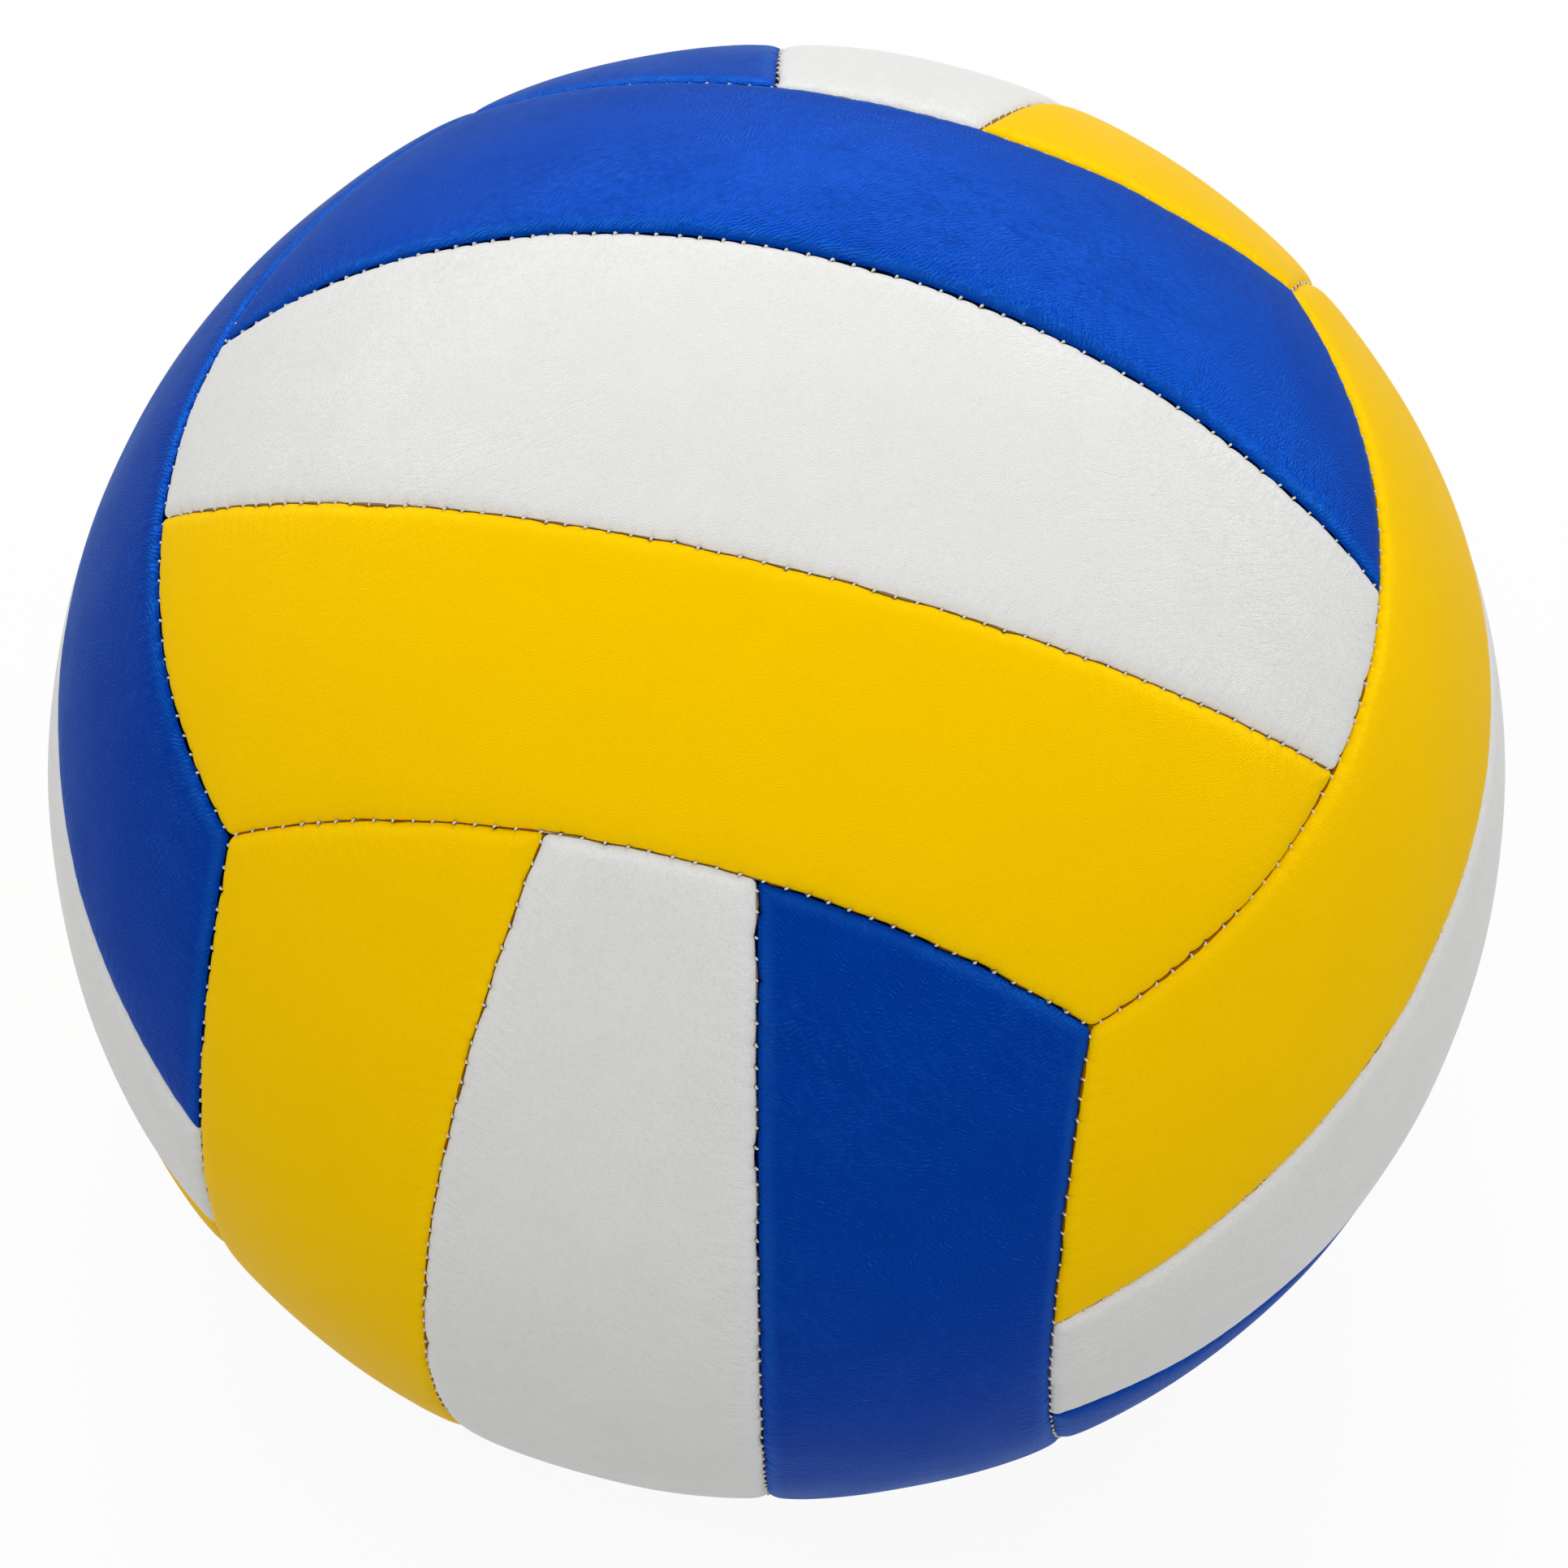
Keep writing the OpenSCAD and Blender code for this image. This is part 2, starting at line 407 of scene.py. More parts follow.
def points_of(piece: bpy.types.Object) -> Array:
    """Reads a piece's points.

    Args:
        piece: The piece.

    Returns:
        Places in millimetres, shape (n, 3).
    """
    flat = np.zeros(len(piece.data.vertices) * 3, np.float32)
    piece.data.vertices.foreach_get("co", flat)
    return flat.reshape(-1, 3).astype(float) / MM


def set_lay(piece: bpy.types.Object, along: Array, across: Array) -> None:
    """Stores a UV map in metres that follows the surface.

    Args:
        piece: The piece.
        along: Metres along the piece at each vertex.
        across: Metres across it.
    """
    corners = np.zeros(len(piece.data.loops), np.int32)
    piece.data.loops.foreach_get("vertex_index", corners)
    layer = piece.data.uv_layers.new(name="lay")
    layer.data.foreach_set("uv", np.stack([along, across], -1)[corners].astype(np.float32).ravel())


@dataclass(frozen=True)
class Stitching:
    """Where the stitches of a seam are, and how uneven the sewing is.

    A fade is the distance from the seam over which an effect of the sewing dies out, and a
    spread the share by which it differs from stitch to stitch. All of it rises from nothing
    between start_gap and full_gap from a corner.
    """

    sizes: BallSizes
    pitch: float = 3.1
    slip: float = 0.26
    hole_depth: float = 0.22
    hole_w: float = 0.28
    hole_shift: float = 0.12
    hole_spread: float = 0.45
    hole_fade: float = 0.75
    dip_h: float = 0.1
    dip_w: float = 0.7
    dip_spread: float = 0.5
    dip_fade: float = 1.3
    wander: float = 0.09
    wander_pitch: float = 11.0
    wander_fade: float = 2.4
    ripple_share: float = 0.55
    ripple_pitch: float = 3.7
    start_gap: float = 0.5
    full_gap: float = 2.8
    lean: float = math.radians(38.0)
    lean_spread: float = math.radians(16.0)
    chance_pitch: float = 1.7
    chance_limit: float = 1.6

    def places(self, seam: Seam, half_length: float) -> Array:
        """Millimetres along the seam of each stitch.

        Args:
            seam: The seam.
            half_length: Half of its length.

        Returns:
            Places at an even pitch, each slipped a little by where it is on the ball.
        """
        count = round(2.0 * half_length / self.pitch)
        even = (np.arange(count) - (count - 1) / 2.0) * 2.0 * half_length / count
        return even + self.slip * self.chance(seam, even, Seed.SLIP)

    def chance(self, seam: Seam, along: Array, seed: Seed) -> Array:
        """Gives each place an uneven value, the same for both panels of the seam.

        Args:
            seam: The seam.
            along: Millimetres along it.
            seed: Which unevenness is asked for.

        Returns:
            Values from -1 to 1.
        """
        spots = seam.point(along, 0.0) * self.sizes.ball_r
        most = self.chance_limit
        return np.clip(wobble(spots, self.chance_pitch, seed), -most, most) / most


@dataclass(frozen=True)
class EdgeShape:
    """The rolled edge of a panel, from the foot of its wall to the level skin.

    The wall stands closed_gap from the seam and makes room for the running thread, from
    below_run under its middle to above_run over it. The sewing moves only what is higher than
    still_h over that middle. steps are the distances of the loops on the slope, and core_aside
    is that of the coarse grid's rim. Loops turn a corner in a round of corner_r.
    """

    gap: float = 0.04
    roll_w: float = 2.1
    roll_h: float = 0.74
    roll_steps: int = 9
    roll_power: float = 1.2
    slope_h: float = 0.42
    slope_w: float = 7.4
    slope_power: int = 3
    thread_room: float = 0.2
    closed_gap: float = 0.04
    below_run: float = 0.45
    beside_run: float = 0.1
    above_run: float = 0.36
    still_h: float = 0.4
    corner_r: float = 1.05
    steps: tuple[float, ...] = (2.6, 3.2, 4.0, 4.9, 5.9)
    core_aside: float = 7.0

    def slope(self, aside: Array) -> Array:
        """How far the skin lies below the ball's radius, a cube law that ends at slope_w."""
        left = np.clip(1.0 - np.asarray(aside, float) / self.slope_w, 0.0, 1.0)
        return self.slope_h * left**self.slope_power

    def profile(self, sizes: BallSizes) -> list[tuple[float, float]]:
        """Lists the profile's points, an upright wall, then a quarter ellipse, then the slope.

        Args:
            sizes: The ball's sizes.

        Returns:
            Pairs of the distance from the seam and the radius before unevenness.
        """
        wall = [
            (self.closed_gap, sizes.tray_low_r),
            (self.closed_gap, sizes.run_r - self.below_run),
            (self.thread_room, sizes.run_r - self.beside_run),
            (self.thread_room, sizes.run_r + self.beside_run),
            (self.closed_gap, sizes.run_r + self.above_run),
        ]
        turns = math.pi / 2.0 * np.linspace(0.0, 1.0, self.roll_steps + 1) ** self.roll_power
        asides = self.gap + self.roll_w * (1.0 - np.cos(turns))
        drops = self.roll_h * (1.0 - np.sin(turns)) + self.slope(asides)
        roll = list(zip(asides.tolist(), (sizes.ball_r - drops).tolist()))
        level = [(step, sizes.ball_r - float(self.slope(step))) for step in self.steps]
        return wall + roll + level


@dataclass
class Panel:
    """One panel's skin: a tray of artificial leather with rolled edges and stitch holes.

    beside and corner_stations are where the fine mesh has points, in millimetres from each
    stitch and from each corner. The fields that start with hole, lip and rim shape the round
    hole for the valve, and those that start with crimp say where the sewing's wrinkles are.
    """

    face: Face
    strip: int
    sizes: BallSizes
    stitching: Stitching
    edge: EdgeShape
    cells_along: int = 90
    cells_across: int = 18
    beside: tuple[float, ...] = (-1.15, -0.68, -0.36, -0.12, 0.12, 0.36, 0.68, 1.15)
    corner_stations: tuple[float, ...] = (0.0, 0.3, 0.6, 0.9, 1.2, 1.55, 1.9, 2.4)
    corner_clear: float = 0.15
    corner_reach: float = 9.0
    guide_share: float = 0.25
    hole_half_cells: int = 3
    hole_points: int = 72
    hole_turn: float = math.radians(-135.0)
    hole_flat_r: float = 5.2
    lip_r: float = 4.6
    lip_drop: float = 0.02
    rim_drop: float = 0.06
    rim_round: float = 0.5
    rim_steps: int = 6
    swell_h: float = 0.05
    swell_w: float = 26.0
    crimp_corner: tuple[float, float] = (1.0, 4.0)
    crimp_start: tuple[float, float] = (0.6, 2.2)
    crimp_end: tuple[float, float] = (3.0, 9.0)
    side_shift: float = 61.0
    aside_most: float = 60.0
    seams: list[Seam] = field(init=False)
    guides: list[Array] = field(init=False)
    places: list[Array] = field(init=False)

    def __post_init__(self) -> None:
        """Works out the seams, the corners' guides and the stitches that belong to the panel."""
        self.seams = self.find_seams()
        inner = self.guide_share
        low, high = {0: (-inner, inner), 1: (inner, 1.0), -1: (-1.0, -inner)}[self.strip]
        guides = ((-1.0, low), (1.0, low), (1.0, high), (-1.0, high))
        self.guides = [self.turned(x, y, 1.0) for x, y in guides]
        lengths = [seam_half_length(seam, self.sizes) for seam in self.seams]
        self.places = [self.stitching.places(seam, half) for seam, half in zip(self.seams, lengths)]

    @property
    def colour(self) -> Colour:
        """The panel's colour."""
        return strip_colour(self.face, self.strip)

    @property
    def name(self) -> str:
        """The piece's name."""
        return f"{self.face.label}_{self.colour.value}_panel"

    @property
    def node(self) -> str:
        """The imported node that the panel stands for."""
        return f"{self.face.label}_{self.colour.value}_skin"

    @property
    def has_valve(self) -> bool:
        """Whether the valve's hole is in this panel."""
        return self.face is Face.BACK and self.strip == 0

    def turned(self, *parts: float) -> Array:
        """A vector of the top face, turned to this panel's face."""
        return np.array(parts, float) @ self.face.axes

    def find_seams(self) -> list[Seam]:
        """Works out the four seams round the panel.

        Returns:
            The seams, counter-clockwise from the lower side as seen from outside.
        """
        if self.strip == 0:
            low, high = (strip_seam(self.face, hand, -1, self.sizes) for hand in (-1, 1))
        else:
            between = strip_seam(self.face, self.strip, 1, self.sizes)
            outer = side_seam(self.face, self.strip, self.sizes)
            low, high = (between, outer) if self.strip > 0 else (outer, between)
        return [low, end_seam(self.face, 1, self.sizes), high, end_seam(self.face, -1, self.sizes)]

    def corner(self, number: int, aside: float) -> Array:
        """The direction at one distance from both seams of a corner, shape (3,)."""
        at = np.array([aside])
        return meet(self.seams[number - 1], at, self.seams[number], at, self.guides[number])[0]

    def span(self, number: int, aside: float) -> tuple[float, float]:
        """Tells where a side starts and ends.

        Args:
            number: The side, counted from the lower one.
            aside: Millimetres from the seams.

        Returns:
            Two places in millimetres along the side's seam.
        """
        ends = np.stack([self.corner(number, aside), self.corner((number + 1) % 4, aside)])
        start, end = self.seams[number].along(ends)
        return float(start), float(end)

    def stations(self, number: int) -> Array:
        """Chooses where along a side the fine mesh has its points.

        Args:
            number: The side, counted from the lower one.

        Returns:
            Millimetres along the seam from the side's first corner up to, but without, the next.
        """
        start, end = self.span(number, 0.0)
        low, high = min(start, end), max(start, end)
        ends = np.array(self.corner_stations)
        beside = (self.places[number][:, None] + np.array(self.beside)).ravel()
        clear = ends[-1] + self.corner_clear
        beside = beside[(beside > low + clear) & (beside < high - clear)]
        places = np.unique(np.concatenate([low + ends, high - ends, beside]))
        return (places if end > start else places[::-1])[:-1]

    def unevenness(self, number: int, along: Array, aside: float) -> tuple[Array, Array]:
        """Works out how the sewing moves the skin beside a seam.

        The seam's own line wanders by a sum of waves. Each stitch pulls a bell-shaped notch into
        the edge and a wider bell-shaped dip into the surface, which fades with the square of the
        distance, and all of it ends before the corners.

        Args:
            number: The side.
            along: Millimetres along its seam.
            aside: Millimetres from the seam.

        Returns:
            Millimetres into the panel, and millimetres downwards.
        """
        seam, places, sewing = self.seams[number], self.places[number], self.stitching
        nearest = np.searchsorted((places[1:] + places[:-1]) / 2.0, along)
        off = along - places[nearest]
        chance = sewing.chance(seam, places, Seed.HOLE)[nearest]
        spots = seam.point(along, 0.0) * self.sizes.ball_r
        ripple = sewing.ripple_share * wobble(spots, sewing.ripple_pitch, Seed.RIPPLE)
        line = sewing.wander * (wobble(spots, sewing.wander_pitch, Seed.WANDER) + ripple)
        hole = off - seam.side * sewing.hole_shift
        notch = sewing.hole_depth * (1.0 + sewing.hole_spread * chance) * bell(hole / sewing.hole_w)
        dip = sewing.dip_h * (1.0 + sewing.dip_spread * chance) * bell(hole / sewing.dip_w)
        start, end = self.span(number, 0.0)
        corner_gap = np.minimum(np.abs(along - start), np.abs(along - end))
        window = smooth(sewing.start_gap, sewing.full_gap, corner_gap)
        sideways = seam.side * line * bell(aside / sewing.wander_fade)
        sideways = sideways + notch * bell(aside / sewing.hole_fade)
        return window * sideways, window * dip * bell(aside / sewing.dip_fade)

    def ring(self, aside: float, stations: Sequence[Array]) -> tuple[Array, Array, Array]:
        """Works out one loop of the fine mesh at a distance from the seams.

        The places of the seams themselves are slid so that they start and end at this loop's
        corners. Close to a corner, points of a square of distances are drawn in to a quarter
        circle, so that the loop turns the corner in a round.

        Args:
            aside: Millimetres from the seams.
            stations: Places along the four sides at the seams.

        Returns:
            Directions, how far the skin dips there, and how far round each point is, from 0 to 1.
        """
        round_r = self.edge.corner_r
        spots, dips, ats = [], [], []
        for number, along in enumerate(stations):
            seam = self.seams[number]
            outer, here = self.span(number, 0.0), self.span(number, aside)
            slid = along.copy()
            for end, moved in zip(outer, here):
                slid += (moved - end) * np.clip(1.0 - np.abs(along - end) / self.corner_reach, 0.0, 1.0)
            sideways, dip = self.unevenness(number, slid, aside)
            found = seam.point(slid, aside + sideways)
            for neighbour, corner in ((number - 1, number), (number + 1, number + 1)):
                other, guide = self.seams[neighbour % 4], self.guides[corner % 4]
                away = other.aside(seam.point(slid, aside))
                legs = np.stack([round_r - away, np.full_like(away, round_r - aside)])
                near = (legs > 0.0).all(0)
                if near.any():
                    legs = legs[:, near]
                    drawn = round_r - legs * legs.max(0) / np.hypot(*legs)
                    found[near] = meet(other, drawn[0], seam, drawn[1] + sideways[near], guide)
            spots.append(found)
            dips.append(dip)
            ats.append((number + (slid - here[0]) / (here[1] - here[0])) / 4.0)
        return np.concatenate(spots), np.concatenate(dips), np.concatenate(ats)

    def grid(self, aside: float) -> tuple[Array, Array]:
        """Works out the coarse grid inside a loop as a Coons patch of its four sides.

        Each point is the sum of the two straight blends between facing sides less the blend of
        the four corners, brought back to the ball.

        Args:
            aside: The loop's distance from the seams in millimetres.

        Returns:
            Directions, shape (rows, columns, 3), and how far round the loop each of its points is.
        """
        cells = (self.cells_along, self.cells_across)
        sides, ats = [], []
        for number, seam in enumerate(self.seams):
            share = np.linspace(0.0, 1.0, cells[number % 2] + 1)
            start, end = self.span(number, aside)
            sides.append(seam.point(start + (end - start) * share, aside))
            ats.append((number + share[:-1]) / 4.0)
        low, right, high, left = sides[0], sides[1], sides[2][::-1], sides[3][::-1]
        u = np.linspace(0.0, 1.0, cells[0] + 1)[None, :, None]
        v = np.linspace(0.0, 1.0, cells[1] + 1)[:, None, None]
        blend = (1 - v) * low[None] + v * high[None] + (1 - u) * left[:, None] + u * right[:, None]
        low_corners = (1 - u) * (1 - v) * low[0] + u * (1 - v) * low[-1]
        spots = blend - (low_corners + (1 - u) * v * high[0] + u * v * high[-1])
        return spots / np.linalg.norm(spots, axis=-1, keepdims=True), np.concatenate(ats)

    def swell(self, spots: Array) -> Array:
        """The soft unevenness of the blown-up panel in millimetres."""
        return self.swell_h * wobble(spots * self.sizes.ball_r, self.swell_w, Seed.SWELL)

    def lay_grid(self, mesh: Mesh, numbers: Array, flip: bool) -> None:
        """Lays the quads of a grid, and leaves out the block round the valve's hole.

        Args:
            mesh: The mesh that the grid is in.
            numbers: The grid's point numbers.
            flip: Whether the faces look the other way.
        """
        if not self.has_valve:
            mesh.lay(numbers, closed=False, flip=flip)
            return
        low, high, first, last = self.block()
        mesh.lay(numbers[: low + 1], closed=False, flip=flip)
        mesh.lay(numbers[high:], closed=False, flip=flip)
        mesh.lay(numbers[low : high + 1, : first + 1], closed=False, flip=flip)
        mesh.lay(numbers[low : high + 1, last:], closed=False, flip=flip)

    def block(self) -> tuple[int, int, int, int]:
        """The first and last row and column of the block round the valve's hole."""
        row, column, half = self.cells_across // 2, self.cells_along // 2, self.hole_half_cells
        return row - half, row + half, column - half, column + half

    def lay_hole(self, mesh: Mesh, upper: Array, under: Array) -> None:
        """Lays the round hole for the valve, from the upper grid's block to the under grid's.

        Rings of points go from a circle inside the block, down a quarter round and a wall, and
        out again on the under side. They start at the turn of the blocks' first corner, and
        triangles join the first and the last ring to the blocks.

        Args:
            mesh: The mesh that both grids are in.
            upper: The upper grid's point numbers.
            under: The under grid's point numbers.
        """
        size, hole_r = self.sizes, self.sizes.valve_hole_r
        low_r = size.ball_r - size.skin_t
        turns = np.linspace(0.0, math.pi / 2.0, self.rim_steps)
        rim_out = hole_r + self.rim_round * (1 - np.sin(turns))
        rim_up = size.ball_r - self.rim_drop - self.rim_round * (1 - np.cos(turns))
        upper_rings = [(self.hole_flat_r, size.ball_r), (self.lip_r, size.ball_r - self.lip_drop)]
        rings = [*upper_rings, *zip(rim_out, rim_up), (hole_r, low_r), (self.hole_flat_r, low_r)]
        angle = np.linspace(0.0, 2.0 * math.pi, self.hole_points, endpoint=False) + self.hole_turn
        x, y, z = self.face.axes
        outward = np.cos(angle)[:, None] * x + np.sin(angle)[:, None] * y
        rows = []
        for flat, radius in rings:
            spots = math.cos(flat / size.ball_r) * z + math.sin(flat / size.ball_r) * outward
            lift = self.swell(spots) if radius > low_r else np.zeros(len(spots))
            rows.append(spots * (radius + lift)[:, None])
        numbers = mesh.add(np.stack(rows))
        mesh.lay(numbers)
        low, high, first, last = self.block()
        upper_loop, under_loop = (rim_of(grid[low : high + 1, first : last + 1]) for grid in (upper, under))
        circle_at = np.arange(self.hole_points) / self.hole_points
        loop_at = np.arange(len(upper_loop)) / len(upper_loop)
        mesh.zip_loops(upper_loop, loop_at, numbers[0], circle_at)
        mesh.zip_loops(numbers[-1], circle_at, under_loop, loop_at)

    def build(self) -> bpy.types.Object:
        """Makes the panel's closed mesh.

        Fine loops follow the edge's profile from the foot of the wall to the level skin, a
        coarse grid fills them, and a second grid with a wall round it makes the under side.

        Returns:
            The piece, with a UV map that follows the strip and its distance to the seams.
        """
        mesh, size = Mesh(), self.sizes
        stations = [self.stations(number) for number in range(4)]
        rows, ats = [], []
        for aside, radius in self.edge.profile(size):
            spots, dips, at = self.ring(aside, stations)
            ats.append(at)
            if radius > size.run_r + self.edge.still_h:
                radius = radius - (dips - self.swell(spots))[:, None]
            rows.append(spots * radius)
        numbers = mesh.add(np.stack(rows))
        mesh.lay(numbers)
        spots, grid_at = self.grid(self.edge.core_aside)
        upper = mesh.add(spots * (size.ball_r + self.swell(spots))[..., None])
        self.lay_grid(mesh, upper, flip=False)
        mesh.zip_loops(numbers[-1], ats[-1], rim_of(upper), grid_at)
        spots, grid_at = self.grid(self.edge.closed_gap + size.skin_t)
        under = mesh.add(spots * (size.ball_r - size.skin_t))
        self.lay_grid(mesh, under, flip=True)
        foot = mesh.add(rim_of(spots) * size.tray_low_r)
        mesh.lay(np.stack([foot, rim_of(under)]), flip=True)
        mesh.zip_loops(numbers[0], ats[0], foot, grid_at, flip=True)
        if self.has_valve:
            self.lay_hole(mesh, upper, under)
        piece = mesh.build(self.name)
        self.store_lay(piece)
        return piece

    def store_lay(self, piece: bpy.types.Object) -> None:
        """Stores the UV map along the strip, and where each point lies beside its nearest seam.

        aside is the distance to the seam in millimetres and run the place along it, with
        side_shift between the sides so that their wrinkles differ. crimp is the share of the
        sewing's stretch wrinkles, which fade out before the corners.

        Args:
            piece: The panel's piece.
        """
        spots = points_of(piece)
        spots /= np.linalg.norm(spots, axis=1, keepdims=True)
        own = spots @ self.face.axes.T
        reach = self.sizes.ball_r * MM
        across = reach * np.arctan2(own[:, 1], own[:, 2])
        set_lay(piece, reach * np.arcsin(np.clip(own[:, 0], -1, 1)), across)
        asides = np.array([seam.aside(spots) for seam in self.seams])
        runs = np.array([seam.along(spots) for seam in self.seams])
        nearest = asides.argmin(0)
        aside, second = np.sort(asides, axis=0)[:2]
        run = np.take_along_axis(runs, nearest[None], 0)[0] + self.side_shift * nearest
        crimp = smooth(*self.crimp_corner, second - aside) * smooth(*self.crimp_start, aside)
        crimp = crimp * (1.0 - smooth(*self.crimp_end, aside))
        aside = np.clip(aside, 0.0, self.aside_most)
        for name, values in (("aside", aside), ("run", run), ("crimp", crimp)):
            layer = piece.data.attributes.new(name, "FLOAT", "POINT")
            layer.data.foreach_set("value", values.astype(np.float32))

    def dress(self, piece: bpy.types.Object, material: bpy.types.Material) -> None:
        """Gives the piece its leather, hangs it on the root body and hides the imported part it stands for.

        Args:
            piece: The panel's piece.
            material: Its leather.
        """
        piece.data.materials.append(material)
        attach(piece, "root")
        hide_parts(self.node)


def rim_of(grid: Array) -> Array:
    """The outer loop of a grid, counter-clockwise from its first corner."""
    return np.concatenate([grid[0, :-1], grid[:-1, -1], grid[-1, :0:-1], grid[:0:-1, 0]])


@dataclass
class SeamThread:
    """The thread of one family of seams: the stitches that show, and the thread below them.

    A stitch is an arch whose height falls with the square of the distance from its middle, and
    which is thinner by tip_share at its ends.
    """

    name: str
    node: str
    seams: Sequence[Seam]
    sizes: BallSizes
    stitching: Stitching
    sides: int = 6
    stitch_points: int = 7
    stitch_half: float = 0.27
    stitch_sag: float = 0.5
    stitch_depth: float = 0.8
    depth_spread: float = 0.08
    stitch_w: float = 0.35
    tip_share: float = 0.3
    tip_power: int = 4
    run_slack: float = 0.02
    run_end_gap: float = 1.0
    points_per_stitch: int = 3

    def tube(self, mesh: Mesh, path: Array, normal: Array, across: Array, radii: Array) -> None:
        """Lays tubes along paths and closes their ends.

        A point of a tube is the path's point plus the radius times the cosine of its angle across
        and the sine of it along the normal.

        Args:
            mesh: The mesh.
            path: Points in millimetres, shape (tubes, points, 3).
            normal: Unit vectors at them, square to the path.
            across: Unit vectors square to both.
            radii: The tube's radius at each point of a path.
        """
        angle = np.arange(self.sides) * 2.0 * math.pi / self.sides
        out = np.cos(angle)[:, None] * across[..., None, :]
        out = out + np.sin(angle)[:, None] * normal[..., None, :]
        rings = mesh.add(path[..., None, :] + radii[:, None, None] * out)
        here, onward = rings, np.roll(rings, -1, axis=-1)
        quads = np.stack([here[:, :-1], onward[:, :-1], onward[:, 1:], here[:, 1:]], -1)
        mesh.quads.append(quads.reshape(-1, 4))
        for end, flip in ((0, True), (-1, False)):
            tip = mesh.add(path[:, end])
            ring, after = rings[:, end], np.roll(rings[:, end], -1, axis=-1)
            fan = np.stack([ring, after, np.broadcast_to(tip[:, None], ring.shape)], -1).reshape(-1, 3)
            mesh.tris.append(fan[:, ::-1] if flip else fan)

    def stitches(self, mesh: Mesh, seam: Seam) -> None:
        """Lays the stitches of one seam as short arches that lean across it and end in the skin.

        Args:
            mesh: The mesh.
            seam: The seam.
        """
        sewing = self.stitching
        places = sewing.places(seam, seam_half_length(seam, self.sizes))
        out = seam.point(places, 0.0)
        to_pole = seam.pole - (out @ seam.pole)[:, None] * out
        to_pole /= np.linalg.norm(to_pole, axis=1, keepdims=True)
        onward = np.cross(to_pole, out)
        onward *= np.sign((np.cross(seam.pole, out) * onward).sum(1))[:, None]
        lean = sewing.lean + sewing.lean_spread * sewing.chance(seam, places, Seed.LEAN)
        reach = np.cos(lean)[:, None] * to_pole + np.sin(lean)[:, None] * onward
        share = np.linspace(-1.0, 1.0, self.stitch_points)
        deep = self.stitch_depth + self.depth_spread * sewing.chance(seam, places, Seed.SINK)
        height = (self.sizes.ball_r - deep)[:, None] - self.stitch_sag * share**2
        path = height[..., None] * out[:, None] + (self.stitch_half * share)[None, :, None] * reach[:, None]
        fall = -2.0 * self.stitch_sag / self.stitch_half * share
        tangent = reach[:, None] + fall[None, :, None] * out[:, None]
        tangent /= np.linalg.norm(tangent, axis=-1, keepdims=True)
        across = np.broadcast_to(np.cross(out, reach)[:, None], path.shape)
        normal = np.cross(tangent, across)
        radii = self.stitch_w / 2.0 * (1.0 - self.tip_share * share**self.tip_power)
        self.tube(mesh, path, normal, across, radii)

    def running(self, mesh: Mesh, seam: Seam) -> None:
        """Lays the thread that runs below the stitches of one seam.

        Args:
            mesh: The mesh.
            seam: The seam.
        """
        half = seam_half_length(seam, self.sizes) - self.run_end_gap
        count = self.points_per_stitch * len(self.stitching.places(seam, half))
        out = seam.point(np.linspace(-half, half, count), 0.0)
        onward = np.cross(seam.pole, out)
        onward /= np.linalg.norm(onward, axis=1, keepdims=True)
        radii = np.full(count, self.sizes.thread_d / 2.0 - self.run_slack)
        self.tube(mesh, (out * self.sizes.run_r)[None], out[None], np.cross(out, onward)[None], radii)

    def build(self) -> bpy.types.Object:
        """Makes the thread of all the seams as one piece.

        Returns:
            The piece.
        """
        mesh = Mesh()
        for seam in self.seams:
            self.stitches(mesh, seam)
            self.running(mesh, seam)
        return mesh.build(self.name)

    def dress(self, piece: bpy.types.Object, material: bpy.types.Material) -> None:
        """Gives the thread its finish, hangs it on the root body and hides the imported thread it stands
        for.

        Args:
            piece: The thread's piece.
            material: Its finish.
        """
        piece.data.materials.append(material)
        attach(piece, "root")
        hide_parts(self.node)


def linear(colour: Sequence[float]) -> tuple[float, float, float, float]:
    """Turns an sRGB colour from 0 to 255 into a linear one with full alpha."""
    parts = [c / 255.0 for c in colour]
    return (*(p / 12.92 if p <= 0.04045 else ((p + 0.055) / 1.055) ** 2.4 for p in parts), 1.0)


